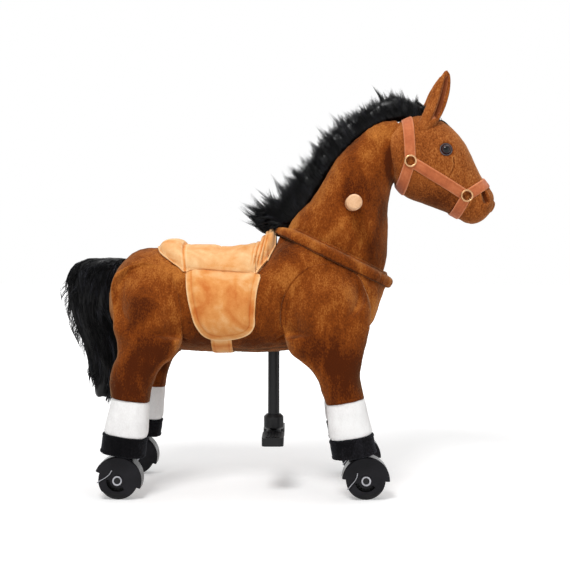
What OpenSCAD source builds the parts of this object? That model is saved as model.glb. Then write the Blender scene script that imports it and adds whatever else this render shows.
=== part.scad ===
// Ride-on horse: a stuffed horse on a folding leg frame with four one-way wheels.
// Lengths are in millimetres. +X points to the head, +Z up, the floor is at zero
// and the origin lies under the middle of the toy.

/* [Stance] */
// Distance between the front and rear axles
wheelbase = 467; // [430:1:500]
// Middle of the wheelbase, measured from the middle of the toy
stance_x = -70.5; // [-85:0.5:-55]
// Distance between the middle planes of the right and left wheels
track = 216; // [200:1:240]
// Height of the leg pivots above the floor
pivot_h = 350; // [335:1:365]
// Lean of the front legs, tops to the rear, in degrees
front_lean = 10; // [7:0.5:13]
// Lean of the rear legs, tops to the front, in degrees
rear_lean = 8.5; // [6:0.5:11]
// Front axle ahead of the line of its steering pin
fork_offset = 13; // [6:0.5:16]

/* [Wheels] */
// Tread diameter
wheel_d = 75; // [66:1:84]
// Width of the tyres
wheel_w = 26; // [20:1:34]
// Thickness of the tyre rubber
tyre_t = 8; // [5:0.5:10]
// Bevel of the tyre's shoulders
tyre_edge = 4; // [2:0.5:6]
// Thickness of the wheel's web
web_t = 8; // [5:0.5:12]
// Thickness of the wheel's rim
rim_t = 4; // [3:0.5:6]
// Diameter of the wheel's boss
boss_d = 24; // [18:1:28]
// Diameter of the ring of ratchet teeth
ratchet_d = 42; // [36:1:46]
// Height of the ratchet teeth along the axle
ratchet_t = 4; // [2:0.5:6]
// Number of ratchet teeth
ratchet_n = 18; // [10:1:24]
// Diameter of the axles
axle_d = 10; // [8:0.5:12]
// Diameter of the bright axle heads
axle_head_d = 18; // [15:0.5:22]
// Thickness of the axle heads
axle_head_t = 2.5; // [1.5:0.5:4]
// Width of the rim around each axle head's dish
axle_rim = 2.5; // [1.5:0.5:3.5]

/* [Wheel hoods] */
// Air between the tread and the hood
hood_gap = 3; // [2:0.5:6]
// Thickness of the hood over the tread
hood_t = 4.5; // [3:0.5:6]
// Bevel of the hood's shoulders
hood_edge = 2.5; // [1:0.5:3]
// Thickness of the hood's cheeks
cheek_t = 4; // [3:0.5:6]
// Air between the tyre and each cheek
side_gap = 1.5; // [1:0.5:3]
// Step from the hood's sides down to the cheeks' lower part
cheek_step = 0.6; // [0.4:0.1:1]
// Radius of the cheek's lower part inside the tread radius
cheek_inset = 1.5; // [0.5:0.5:4]
// Depth of the cheeks below the axle
cheek_drop = 25; // [22:0.5:30]
// Angle of the hood's front end, in degrees from forward
hood_front = -12; // [-20:1:0]
// Angle of the hood's rear end, in degrees from forward
hood_rear = 166; // [155:1:180]
// Radius of the curved window under each axle
window_r = 18; // [16:0.5:20]
// Width of the curved window
window_w = 7; // [4:0.5:8]
// Angle where the window begins, in degrees from forward
window_from = 185; // [180:1:210]
// Angle where the window ends, in degrees from forward
window_to = 315; // [290:1:330]
// Diameter of the crown under the leg tube
crown_d = 26; // [22:1:30]
// Air between the hood and the crown's top
crown_rise = 6.5; // [5:0.5:10]
// Diameter of the stem in the leg tube
stem_d = 17; // [14:0.5:18]
// Length of the stem in the leg tube
stem_l = 75; // [50:1:100]
// Diameter of the pawl spring's wire
wire_d = 2.2; // [1.6:0.1:3]

/* [Legs] */
// Diameter of the leg tubes and cross shafts
leg_tube_d = 22; // [20:0.5:26]
// Bore of the cross shafts
shaft_bore_d = 16; // [12:0.5:17]
// Diameter of the clamp at the top of each leg tube
clamp_d = 34; // [30:1:40]
// Width of the clamp at the top of each leg tube
clamp_w = 24; // [18:1:28]
// Length of a cross shaft past the middle of each clamp
shaft_past = 11; // [9:0.5:13]
// Width of a stuffed leg, front to back
leg_w = 84; // [76:1:90]
// Thickness of a stuffed leg, side to side
leg_t = 72; // [64:1:76]
// Height of the hoof's lower edge above the hood
hoof_gap = 2; // [1:0.5:6]
// Height of the hoof cuff
hoof_h = 37; // [30:1:44]
// Height of the white sock
sock_h = 68; // [56:1:80]
// Distance of the stuffed legs' flat inner faces from the middle
leg_in = 84.5; // [80:0.5:88]
// Length of the levers on the cross shafts
lever_l = 36; // [32:1:40]
// Thickness of the levers
lever_t = 6; // [4:0.5:7]
// Width of the levers
lever_w = 16; // [14:0.5:18]
// Distance of the levers' inner faces from the middle
lever_y = 21.5; // [21:0.5:23]

/* [Frame] */
// Height of the frame's side rails
rail_h = 20; // [16:1:24]
// Thickness of the side rails
rail_t = 10; // [8:0.5:12]
// Distance of the side rails from the middle
rail_y = 50; // [47:0.5:54]
// Outer diameter of the bearing sleeves
sleeve_d = 34; // [30:1:38]
// Length of each bearing sleeve
sleeve_l = 26; // [20:1:32]
// Thickness of the cross plates
plate_t = 14; // [10:1:16]
// Length of the cross plates along the toy
plate_l = 44; // [40:1:60]
// Outer diameter of the steering head
steer_tube_d = 40; // [36:1:42]
// Length of the steering head
steer_tube_l = 92; // [86:1:96]
// Diameter of the gait rod's pins
rod_pin_d = 8; // [6:0.5:9]
// Thickness of the gait rod
rod_t = 5; // [4:0.5:6]
// Width of the gait rod
rod_w = 12; // [10:0.5:14]
// Outer diameter of the return spring
spring_d = 22; // [18:0.5:24]
// Diameter of the return spring's wire
spring_wire_d = 3; // [2:0.25:4]
// Number of turns of the return spring
spring_turns = 9; // [7:1:10]
// Distance of the return spring from the middle
spring_y = 33; // [32.5:0.5:35]

/* [Foot post] */
// Forward place of the foot post
post_x = -14; // [-25:1:0]
// Diameter of the foot post
post_d = 23; // [20:0.5:26]
// Diameter of the foot post's lower end
post_foot_d = 28; // [25:0.5:32]
// Length of the foot post's thick lower end
post_foot_l = 46; // [30:1:60]
// Height of the foot rests' upper faces
rest_h = 110; // [94:1:130]
// Thickness of the foot rests
rest_t = 16; // [12:0.5:20]
// Length of each foot rest along the toy
rest_l = 42; // [36:1:60]
// Reach of the foot rests from the middle
rest_reach = 88; // [70:1:92]
// Corner radius of the foot rests
rest_r = 8; // [5:0.5:12]
// Diameter of the bar through the foot rests
bar_d = 7; // [5:0.5:8]
// Height of the foot rests' tread ribs
rib_h = 1.5; // [1:0.25:2]
// Width of the foot rests' tread ribs
rib_w = 3; // [2:0.5:5]

// Diameter of the clamp above the foot rests
post_clamp_d = 39; // [34:0.5:44]
// Height of the clamp's top above the floor
post_clamp_top = 143; // [138:1:150]
// Size of the clamp's bevelled edges
post_clamp_edge = 5; // [2:0.5:7]

/* [Body] */
// Rear end of the body
body_x = -338; // [-345:1:-330]
// Length of the body from rump to chest
body_len = 544; // [530:1:560]
// Height of the belly above the floor
belly_h = 266; // [260:1:272]
// Height of the body from belly to withers
body_h = 240; // [232:1:250]
// Width of the barrel
body_w = 228; // [220:1:240]
// Thickness of the stuffing around the frame
body_wall = 11; // [9:1:14]
// Half width of the hollow for the frame
hollow_y = 66; // [64:0.5:68]
// Radius of the shoulder pads' seats in the body
shoulder_r = 103; // [102:0.5:106]
// Radius of the haunch pads' seats in the body
haunch_r = 97; // [95:0.5:100]

/* [Neck] */
// Forward place of the collar's centre
collar_x = 100; // [96:1:104]
// Height of the collar's centre
collar_h = 450; // [446:1:454]
// Forward lean of the neck, in degrees
neck_lean = 26; // [24:0.5:28]
// Steering line behind the collar's centre
steer_back = 13; // [10:0.5:16]
// Forward reach of the neck's outline from the collar's centre
neck_run = 120; // [115:1:125]
// Height of the neck's outline above the collar's centre
neck_rise = 285; // [280:1:290]
// Width of the neck at the collar
neck_w = 168; // [160:1:176]
// Thickness of the rolled collar
cuff_d = 22; // [18:1:26]
// Half length of the collar along its slope
cuff_a = 119; // [116:1:124]
// Half width of the collar
cuff_b = 87; // [84:1:92]
// Diameter of the neck's stem in the steering head
neck_stem_d = 30; // [26:0.5:32]
// Height of the handle along the stem above the collar
handle_up = 117; // [108:1:126]
// Diameter of the handle
handle_d = 30; // [24:0.5:32]
// Length of the handle from end to end
handle_l = 270; // [240:1:300]
// Rounding of the handle's ends
handle_edge = 3; // [2:0.5:5]

/* [Head] */
// Rear of the head's outline
head_x = 222; // [219:1:225]
// Length of the head's outline
head_len = 202; // [196:1:208]
// Height of the chin above the floor
head_z = 522; // [519:1:526]
// Height of the head's outline
head_h = 216; // [210:1:222]
// Width of the head over the cheeks
head_w = 120; // [112:1:128]
// Diameter of the eyes
eye_d = 23; // [18:0.5:26]
// Height of the ears' outline
ear_h = 124; // [110:1:130]
// Width of an ear
ear_w = 46; // [40:1:52]
// Thickness of an ear
ear_t = 30; // [22:1:34]
// Distance of the ears from the middle
ear_y = 36; // [33:0.5:40]
// Width of the halter straps
strap_w = 21; // [16:0.5:24]
// Thickness of the halter straps
strap_t = 2.4; // [1.5:0.1:3]
// Diameter of the halter rings
ring_d = 25; // [20:0.5:28]
// Thickness of the halter rings' wire
ring_t = 4; // [3:0.5:5]

/* [Hair] */
// Width of the mane
mane_w = 52; // [40:1:60]
// Width of the tail
tail_w = 74; // [60:1:90]
// Reach of the tail behind the middle
tail_reach = 424; // [416:1:430]
// How far the tail's root lies inside the rump's end
tail_root = 34; // [30:1:38]
// Height of the tail's tip above the floor
tail_z = 164; // [150:1:180]
// Height of the tail's outline
tail_h = 290; // [280:1:300]

/* [Saddle] */
// Rear end of the saddle
saddle_x = -242; // [-248:1:-236]
// Length of the saddle
saddle_len = 232; // [228:1:236]
// Width of the seat
saddle_w = 190; // [180:1:198]
// Height of the saddle's outline above the seam
saddle_rise = 90; // [84:1:94]
// Depth of the flaps below the seam
flap_drop = 134; // [120:1:142]
// Thickness of the flaps
flap_t = 7; // [4:0.5:9]
// Width of the girth strap
girth_w = 40; // [30:1:50]
// Thickness of the girth strap
girth_t = 2.5; // [2:0.25:4]

/* [Hidden] */
$fn = 64;
// Running clearance of pins and shafts, and air between parts that move past each other
run_gap = 0.06;
air = 0.5;
// Clearance of stuffing around the frame, and of one soft piece over another
loose = 0.6;
lay = 0.3;
// Points round a soft section
body_n = 22;
leg_n = 14;
neck_n = 20;
hair_n = 14;
band_n = 40;
cuff_n = 10;
coil_n = 6;
coil_steps = 12;
// Share of a circle's roundness kept by soft sections
body_round = 0.86;
leg_round = 0.84;
pad_round = 0.62;
head_round = 0.92;
hair_round = 0.95;

axle_h = wheel_d / 2;
front_axle_x = stance_x + wheelbase / 2;
rear_axle_x = stance_x - wheelbase / 2;
front_foot_x = front_axle_x - fork_offset * cos(front_lean);
front_foot_z = axle_h - fork_offset * sin(front_lean);
front_len = (pivot_h - front_foot_z) / cos(front_lean);
rear_len = (pivot_h - axle_h) / cos(rear_lean);
front_pivot_x = front_foot_x - front_len * sin(front_lean);
rear_pivot_x = rear_axle_x + rear_len * sin(rear_lean);
span = body_len + body_w;
tail_run = tail_reach + body_x + tail_root;

rim_r = wheel_d / 2 - tyre_t;
cheek_in = wheel_w / 2 + side_gap;
cheek_out = cheek_in + cheek_t;
cheek_r = wheel_d / 2 - cheek_inset;
hood_in = wheel_d / 2 + hood_gap;
hood_out = hood_in + hood_t;
crown_top = hood_out + crown_rise;
hoof_z = hood_out + hoof_gap;
sock_z = hoof_z + hoof_h + lay;
leg_z = sock_z + sock_h + lay;

steer_x = collar_x - steer_back * cos(neck_lean);
steer_z = collar_h + steer_back * sin(neck_lean);
thrust_z = body_wall;
steer_sweep_r = cuff_a + cuff_d / 2 - steer_back + loose;
handle_x = steer_x + handle_up * sin(neck_lean);
handle_z = steer_z + handle_up * cos(neck_lean);
peg_in = (neck_w - cuff_d) / 2;

rod_y = lever_y + lever_t + run_gap * 10;
rod_front_z = pivot_h + lever_l;
rod_rear_z = pivot_h - lever_l;
rod_len = norm([front_pivot_x - rear_pivot_x, rod_front_z - rod_rear_z]);
rod_angle = atan2(rod_front_z - rod_rear_z, front_pivot_x - rear_pivot_x);
rod_play = 1;
stop_t = plate_t / 2;
spring_x = post_x - stop_t / 2;
spring_back = spring_x + stop_t / 2 + lay;
spring_front = front_pivot_x - lever_w / 2 - lay;
spring_len = spring_front - spring_back;
post_top = pivot_h - rail_h / 2 + plate_t / 2;
post_socket_d = post_d + plate_t;
post_socket_l = 2 * plate_t;

// Outlines as shares: place along, upper edge, lower edge, half width
body_shares = [
    [0.000, 0.54, 0.36, 0.25],
    [0.015, 0.635, 0.25, 0.51],
    [0.048, 0.755, 0.17, 0.72],
    [0.097, 0.845, 0.11, 0.85],
    [0.171, 0.865, 0.06, 0.93],
    [0.263, 0.83, 0.025, 0.97],
    [0.364, 0.765, 0.01, 0.99],
    [0.474, 0.745, 0.012, 1.00],
    [0.566, 0.82, 0.01, 1.00],
    [0.640, 0.97, 0.02, 0.99],
    [0.732, 1.00, 0.05, 0.97],
    [0.824, 0.96, 0.10, 0.90],
    [0.897, 0.87, 0.17, 0.80],
    [0.952, 0.76, 0.24, 0.66],
    [0.982, 0.64, 0.42, 0.46],
    [1.000, 0.57, 0.53, 0.20]
];
// Outlines as shares: back edge along and up, front edge along and up, half width
neck_shares = [
    [-0.89, 0.085, 0.74, -0.24, 0.86],
    [-0.62, 0.30, 0.925, 0.02, 0.86],
    [-0.33, 0.43, 0.94, 0.20, 0.82],
    [-0.12, 0.57, 0.94, 0.37, 0.77],
    [0.12, 0.73, 1.02, 0.53, 0.70],
    [0.42, 0.86, 1.17, 0.61, 0.64],
    [0.80, 0.97, 1.35, 0.67, 0.58],
    [1.04, 0.98, 1.46, 0.74, 0.50]
];
// Outlines as shares: top along and up, bottom along and up, half width
head_shares = [
    [0.03, 0.88, 0.00, 0.44, 0.56],
    [0.09, 0.95, 0.04, 0.34, 0.80],
    [0.22, 1.00, 0.14, 0.255, 0.94],
    [0.40, 0.99, 0.32, 0.19, 1.00],
    [0.575, 0.90, 0.475, 0.135, 0.98],
    [0.70, 0.77, 0.585, 0.09, 0.87],
    [0.80, 0.59, 0.67, 0.045, 0.76],
    [0.88, 0.44, 0.74, 0.01, 0.72],
    [0.95, 0.35, 0.82, 0.005, 0.69],
    [0.99, 0.28, 0.90, 0.045, 0.54],
    [1.00, 0.215, 0.965, 0.11, 0.24]
];
// Outlines as shares: height, back edge, front edge, middle's offset outward, half thickness
front_leg_shares = [
    [0.00, -0.43, 0.45, 0.00, 0.48],
    [0.10, -0.49, 0.43, 0.01, 0.47],
    [0.17, -0.52, 0.44, 0.03, 0.45],
    [0.23, -0.585, 0.50, 0.05, 0.42],
    [0.285, -0.685, 0.56, 0.07, 0.39],
    [0.34, -0.85, 0.64, -0.06, 0.50],
    [0.40, -1.02, 0.73, -0.15, 0.59],
    [0.52, -1.10, 0.87, -0.25, 0.66],
    [0.64, -1.13, 0.95, -0.28, 0.67],
    [0.76, -1.05, 0.91, -0.29, 0.62],
    [0.88, -0.83, 0.78, -0.30, 0.50],
    [0.95, -0.60, 0.57, -0.32, 0.34],
    [1.00, -0.30, 0.30, -0.33, 0.14]
];
rear_leg_shares = [
    [0.00, -0.46, 0.43, 0.00, 0.48],
    [0.10, -0.53, 0.43, 0.01, 0.47],
    [0.16, -0.53, 0.46, 0.03, 0.45],
    [0.22, -0.51, 0.50, 0.05, 0.42],
    [0.28, -0.44, 0.595, 0.07, 0.39],
    [0.34, -0.45, 0.76, -0.06, 0.50],
    [0.40, -0.51, 0.86, -0.15, 0.59],
    [0.47, -0.60, 0.92, -0.22, 0.65],
    [0.58, -0.70, 0.88, -0.27, 0.67],
    [0.70, -0.80, 0.81, -0.29, 0.65],
    [0.80, -0.86, 0.71, -0.30, 0.58],
    [0.89, -0.79, 0.54, -0.31, 0.46],
    [0.96, -0.57, 0.30, -0.32, 0.31],
    [1.00, -0.30, 0.06, -0.33, 0.12]
];
leg_top_share = 0.815;
pad_from_share = 0.45;
sock_shares = [
    [0.00, -0.46, 0.46, 0.46],
    [0.08, -0.49, 0.49, 0.48],
    [0.50, -0.47, 0.47, 0.48],
    [1.00, -0.43, 0.43, 0.46]
];
hoof_shares = [
    [0.00, -0.47, 0.47, 0.46],
    [0.12, -0.51, 0.51, 0.50],
    [0.90, -0.51, 0.51, 0.50],
    [1.00, -0.48, 0.48, 0.47]
];
// Outlines as shares: crest along and up, outer edge along and up, half width
mane_shares = [
    [-0.88, 0.175, -1.20, 0.35, 0.45],
    [-0.72, 0.235, -1.05, 0.41, 0.80],
    [-0.53, 0.32, -0.76, 0.52, 0.95],
    [-0.32, 0.44, -0.59, 0.625, 1.00],
    [-0.15, 0.565, -0.37, 0.72, 1.00],
    [0.00, 0.67, -0.22, 0.84, 1.00],
    [0.22, 0.775, -0.02, 0.94, 1.00],
    [0.48, 0.885, 0.31, 1.04, 0.95],
    [0.79, 0.965, 0.66, 1.12, 0.90],
    [1.10, 1.00, 0.98, 1.19, 0.80],
    [1.35, 1.005, 1.31, 1.15, 0.65],
    [1.55, 1.005, 1.58, 1.09, 0.48],
    [1.70, 0.98, 1.76, 1.045, 0.28]
];
mane_root_share = 0.35;
// Outlines as shares: height, outer edge, inner edge, half width
tail_shares = [
    [0.00, 0.53, 0.60, 0.12],
    [0.06, 0.44, 0.75, 0.45],
    [0.17, 0.385, 0.85, 0.68],
    [0.28, 0.355, 0.93, 0.82],
    [0.39, 0.285, 0.94, 0.92],
    [0.50, 0.17, 0.92, 1.00],
    [0.61, 0.075, 0.90, 1.00],
    [0.70, 0.025, 0.92, 0.95],
    [0.78, 0.00, 0.96, 0.86],
    [0.87, 0.01, 1.00, 0.74],
    [0.95, 0.10, 1.02, 0.58],
    [1.00, 0.34, 1.00, 0.34]
];
// Outlines as shares: height, middle along, width, thickness
ear_shares = [
    [0.00, 0.00, 0.80, 0.90],
    [0.12, 0.16, 1.00, 1.00],
    [0.32, 0.48, 1.00, 0.90],
    [0.56, 0.75, 0.88, 0.72],
    [0.80, 0.97, 0.60, 0.52],
    [0.93, 1.06, 0.36, 0.36],
    [1.00, 1.08, 0.13, 0.18]
];
ear_place_shares = [0.27, 0.815];
ear_lean_share = 0.35;
// Outlines as shares: place along, upper edge, lower edge, half width
seat_shares = [
    [0.000, 0.49, 0.06, 0.40],
    [0.045, 0.63, -0.09, 0.64],
    [0.120, 0.675, -0.25, 0.80],
    [0.190, 0.65, -0.35, 0.90],
    [0.250, 0.555, -0.40, 0.94],
    [0.360, 0.53, -0.46, 0.975],
    [0.500, 0.525, -0.49, 0.99],
    [0.645, 0.525, -0.49, 1.00],
    [0.780, 0.54, -0.47, 0.98],
    [0.860, 0.61, -0.38, 0.91],
    [0.920, 0.81, -0.25, 0.76],
    [0.972, 0.90, -0.13, 0.62],
    [1.000, 0.81, 0.03, 0.46]
];
// The flap's outline as shares of the saddle's length and of the flap's depth
flap_shares = [
    [0.272, 0.00],
    [0.275, -0.06],
    [0.285, -0.266],
    [0.320, -0.577],
    [0.365, -0.812],
    [0.425, -0.943],
    [0.510, -1.00],
    [0.640, -0.99],
    [0.735, -0.953],
    [0.800, -0.887],
    [0.828, -0.812],
    [0.835, -0.624],
    [0.850, -0.295],
    [0.875, -0.06],
    [0.882, 0.00]
];
// The seam between seat and flaps as a share of the body's height
seam_share = 0.6917;
seam_h = belly_h + seam_share * body_h;
girth_share = 0.56;
eye_shares = [0.495, 0.67];
eye_out_share = 0.84;
nostril_shares = [0.915, 0.225];
nostril_out_share = 0.66;
nostril_size_shares = [0.38, 0.30, 1.05];
// Halter points as shares of the head's outline
ring_high_shares = [0.15, 0.565];
ring_low_shares = [0.70, 0.255];
crown_end_shares = [0.13, 1.10];
throat_end_shares = [0.05, 0.24];
nose_end_shares = [1.02, 0.44];
chin_end_shares = [0.54, -0.05];
ring_out_shares = [0.945, 0.79];
// The pawl spring's way over the cheek as shares of the wheel's radius
wire_shares = [
    [-0.36, 0.44],
    [-0.44, 0.25],
    [-0.57, 0.10],
    [-0.77, -0.06],
    [-0.99, -0.25]
];

// Soft sections and the skins drawn over them
function bulge(v, e) = sign(v) * pow(abs(v), e);

// A closed section between two points of the side view, swelling to both sides
function ring_between(p, q, w, y, e, n) = [
    for (i = [0:n - 1])
        let (u = bulge(cos(360 * i / n), e), v = bulge(sin(360 * i / n), e))
            [(p[0] + q[0] + u * (p[0] - q[0])) / 2, y + v * w, (p[1] + q[1] + u * (p[1] - q[1])) / 2]
];

function away(p, q, g) = p + g * (p - q) / max(norm(p - q), air);

function grown(w, g) = max(w + g, w * body_round / 4);

module loft(rings) {
    n = len(rings[0]);
    last = len(rings) - 1;
    sides = [
        for (k = [0:last - 1], j = [0:n - 1])
            let (m = (j + 1) % n)
                each [[k * n + j, k * n + m, (k + 1) * n + m], [k * n + j, (k + 1) * n + m, (k + 1) * n + j]]
    ];
    low_end = [for (j = [n - 1:-1:0]) j];
    high_end = [for (j = [0:n - 1]) last * n + j];
    polyhedron(points = [for (r = rings) each r], faces = concat(sides, [low_end, high_end]), convexity = 8);
}

// One sewn skin: everything inside becomes a single triangulated solid
module skin() {
    resize([0, 0, 0]) children();
}

module body_form(g) {
    loft([
        for (s = body_shares)
            let (
                x = body_x - g + s[0] * (body_len + 2 * g),
                mid = belly_h + (s[1] + s[2]) / 2 * body_h,
                half = grown((s[1] - s[2]) / 2 * body_h, g)
            )
                ring_between([x, mid + half], [x, mid - half], grown(s[3] * body_w / 2, g), 0, body_round, body_n)
    ]);
}

module neck_form(g) {
    loft([
        for (s = neck_shares)
            let (
                p = [collar_x + s[0] * neck_run, collar_h + s[1] * neck_rise],
                q = [collar_x + s[2] * neck_run, collar_h + s[3] * neck_rise]
            )
                ring_between(away(p, q, g), away(q, p, g), s[4] * neck_w / 2 + g, 0, head_round, neck_n)
    ]);
}

function head_at(s) = [head_x + s[0] * head_len, head_z + s[1] * head_h];

module head_form(g) {
    loft([
        for (s = head_shares)
            let (p = head_at([s[0], s[1]]), q = head_at([s[2], s[3]]))
                ring_between(away(p, q, g), away(q, p, g), s[4] * head_w / 2 + g, 0, head_round, neck_n)
    ]);
}

// Places in the frame of a leg, of a wheel and of the neck
module at_leg(front, side) {
    if (front) {
        translate([front_foot_x, side * track / 2, front_foot_z])
            rotate([0, -front_lean, 0])
                children();
    } else {
        translate([rear_axle_x, side * track / 2, axle_h])
            rotate([0, rear_lean, 0])
                children();
    }
}

module at_wheel(front, side) {
    if (front) {
        at_leg(true, side)
            translate([fork_offset, 0, 0])
                children();
    } else {
        at_leg(false, side)
            children();
    }
}

module at_neck() {
    translate([steer_x, 0, steer_z])
        rotate([0, neck_lean, 0])
            children();
}

// A round bar along the toy's width, centred
module cross_rod(d, l) {
    rotate([90, 0, 0])
        cylinder(d = d, h = l, center = true);
}

// A band curved about the axle, between two radii and two angles from forward
module arc_band(r0, r1, w, from, to) {
    rotate([90, 0, 0])
        rotate([0, 0, from])
            rotate_extrude(angle = to - from)
                translate([r0, -w / 2])
                    square([r1 - r0, w]);
}

module block(size, place) {
    translate(place - size / 2)
        cube(size);
}

// Everything above the sliding plane of the collar, raised by g
module above_collar(g) {
    at_neck()
        translate([-span, -span, g])
            cube([2 * span, 2 * span, 2 * span]);
}

// Wheel units
module tyre() {
    rotate([90, 0, 0])
        rotate_extrude()
            polygon([
                [rim_r, -wheel_w / 2],
                [wheel_d / 2 - tyre_edge, -wheel_w / 2],
                [wheel_d / 2, tyre_edge - wheel_w / 2],
                [wheel_d / 2, wheel_w / 2 - tyre_edge],
                [wheel_d / 2 - tyre_edge, wheel_w / 2],
                [rim_r, wheel_w / 2]
            ]);
}

module hub() {
    difference() {
        union() {
            difference() {
                cross_rod(2 * rim_r, wheel_w);
                cross_rod(2 * (rim_r - rim_t), wheel_w + web_t);
            }
            cross_rod(2 * rim_r - rim_t, web_t);
            cross_rod(boss_d, wheel_w + side_gap);
            for (i = [1:ratchet_n])
                rotate([0, 360 * i / ratchet_n, 0])
                    block([ratchet_t, web_t + 2 * ratchet_t, ratchet_t / 2], [(ratchet_d - ratchet_t) / 2, 0, 0]);
        }
        cross_rod(axle_d + 2 * run_gap, 2 * wheel_w);
    }
}

// The hood over the tread with the upper part of both cheeks
module hood_shell() {
    rotate([90, 0, 0])
        rotate([0, 0, hood_front])
            rotate_extrude(angle = hood_rear - hood_front)
                polygon([
                    [boss_d / 2, -cheek_out],
                    [hood_out - hood_edge, -cheek_out],
                    [hood_out, hood_edge - cheek_out],
                    [hood_out, cheek_out - hood_edge],
                    [hood_out - hood_edge, cheek_out],
                    [boss_d / 2, cheek_out],
                    [boss_d / 2, cheek_in],
                    [hood_in, cheek_in],
                    [hood_in, -cheek_in],
                    [boss_d / 2, -cheek_in]
                ]);
}

module cheek(y) {
    difference() {
        translate([0, y, 0])
            cross_rod(2 * cheek_r, cheek_t - 2 * cheek_step);
        block([span, span, span], [0, 0, -cheek_drop - span / 2]);
    }
}

// The hole in a cheek that holds the pawl spring's upper end
module wire_eye(d) {
    translate([wire_shares[0][0] * axle_h, 0, wire_shares[0][1] * axle_h])
        cross_rod(d, span);
}

module fork(offset) {
    difference() {
        union() {
            hood_shell();
            cheek(cheek_in + cheek_t / 2);
            cheek(-cheek_in - cheek_t / 2);
        }
        cross_rod(axle_d + 2 * run_gap, span);
        arc_band(window_r - window_w / 2, window_r + window_w / 2, span, window_from, window_to);
        wire_eye(wire_d + 2 * run_gap);
    }
    difference() {
        translate([-offset, 0, 0])
            cylinder(d = crown_d, h = crown_top);
        cross_rod(hood_in + hood_out, span);
    }
    translate([-offset, 0, crown_top - crown_rise / 2])
        cylinder(d = stem_d, h = stem_l + crown_rise / 2);
}

module axle() {
    reach = cheek_out + lay;
    difference() {
        union() {
            cross_rod(axle_d, 2 * reach + axle_head_t);
            for (s = [-1, 1])
                translate([0, s * (reach + axle_head_t / 2), 0])
                    cross_rod(axle_head_d, axle_head_t);
        }
        for (s = [-1, 1])
            translate([0, s * (reach + axle_head_t), 0])
                cross_rod(axle_head_d - 2 * axle_rim, axle_head_t);
    }
}

function wire_at(i) = [wire_shares[i][0] * axle_h, -cheek_out - wire_d / 2 - lay, wire_shares[i][1] * axle_h];

// The wire's section across its way at point i
function wire_ring(i) =
    let (
        last = len(wire_shares) - 1,
        v = wire_at(min(i + 1, last)) - wire_at(max(i - 1, 0)),
        side = [-v[2], 0, v[0]] / norm(v)
    )
        [
            for (j = [0:coil_n - 1])
                let (b = 360 * j / coil_n)
                    wire_at(i) + wire_d / 2 * (cos(b) * side + sin(b) * [0, 1, 0])
        ];

module pawl() {
    last = len(wire_shares) - 1;
    start = wire_at(0);
    skin() {
        loft([for (i = [0:last]) wire_ring(i)]);
        translate([start[0], start[1] / 2 - cheek_in / 2, start[2]])
            cross_rod(wire_d, -start[1] - cheek_in, $fn = 14);
    }
}

// Leg tubes, shafts and stuffed legs
module leg_tube(reach) {
    difference() {
        union() {
            translate([0, 0, crown_top + air])
                cylinder(d = leg_tube_d, h = reach - crown_top - air);
            translate([0, 0, reach])
                cross_rod(clamp_d, clamp_w);
        }
        translate([0, 0, crown_top])
            cylinder(d = stem_d + 2 * run_gap, h = reach - crown_top - clamp_d / 2);
        translate([0, 0, reach])
            cross_rod(leg_tube_d + 2 * run_gap, 2 * clamp_w);
    }
}

// The room a leg tube and its clamp take up inside a stuffed leg
module tube_room(reach, side) {
    cylinder(d = leg_tube_d + 2 * loose, h = reach, $fn = 20);
    translate([0, -side * track / 4, reach])
        cross_rod(clamp_d + 2 * loose, track / 2 + clamp_w + 2 * loose, $fn = 28);
}

module leg_form(shares, reach, side) {
    height = reach * leg_top_share;
    skin()
        difference() {
            loft([
                for (s = shares)
                    let (z = leg_z + s[0] * height)
                        ring_between([s[1] * leg_w, z], [s[2] * leg_w, z], s[4] * leg_t,
                            side * s[3] * leg_t, s[0] < pad_from_share ? leg_round : pad_round, leg_n)
            ]);
            tube_room(reach, side);
            block([span, 2 * leg_in, span], [0, -side * track / 2, span / 2 + leg_z + height / 4]);
        }
}

module cuff_form(shares, z, h, hole) {
    skin()
        difference() {
            loft([
                for (s = shares)
                    ring_between([s[1] * leg_w, z + s[0] * h], [s[2] * leg_w, z + s[0] * h], s[3] * leg_t,
                        0, leg_round, leg_n)
            ]);
            translate([0, 0, z - h])
                cylinder(d = hole, h = 3 * h, $fn = 20);
        }
}

module leg_plush(front, side) {
    at_leg(front, side)
        leg_form(front ? front_leg_shares : rear_leg_shares, front ? front_len : rear_len, side);
}

module sock(front, side) {
    at_leg(front, side)
        cuff_form(sock_shares, sock_z, sock_h, leg_tube_d + 2 * loose);
}

module hoof(front, side) {
    at_leg(front, side)
        cuff_form(hoof_shares, hoof_z, hoof_h, crown_d + 4 * loose);
}

// A lever on a cross shaft, pointing up or down from the pivot
module lever(dir) {
    block([lever_w, lever_t, lever_l], [0, 0, dir * lever_l / 2]);
    translate([0, 0, dir * lever_l])
        cross_rod(lever_w, lever_t);
    cross_rod(clamp_d - rail_t, lever_t);
}

module cross_shaft(dir, sprung) {
    difference() {
        union() {
            cross_rod(leg_tube_d, track + 2 * shaft_past);
            translate([0, lever_y + lever_t / 2, 0])
                lever(dir);
            translate([0, rod_y + rod_t / 2, dir * lever_l])
                cross_rod(rod_pin_d, rod_t + 2 * lever_t);
            if (sprung) {
                translate([0, -lever_y - lever_t / 2, 0])
                    lever(dir);
                block([lever_w, spring_d / 2, spring_d], [0, -spring_y, dir * lever_l]);
            }
        }
        cross_rod(shaft_bore_d, 2 * track);
    }
}

module at_front_pivot() {
    translate([front_pivot_x, 0, pivot_h])
        children();
}

module at_rear_pivot() {
    translate([rear_pivot_x, 0, pivot_h])
        children();
}

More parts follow.
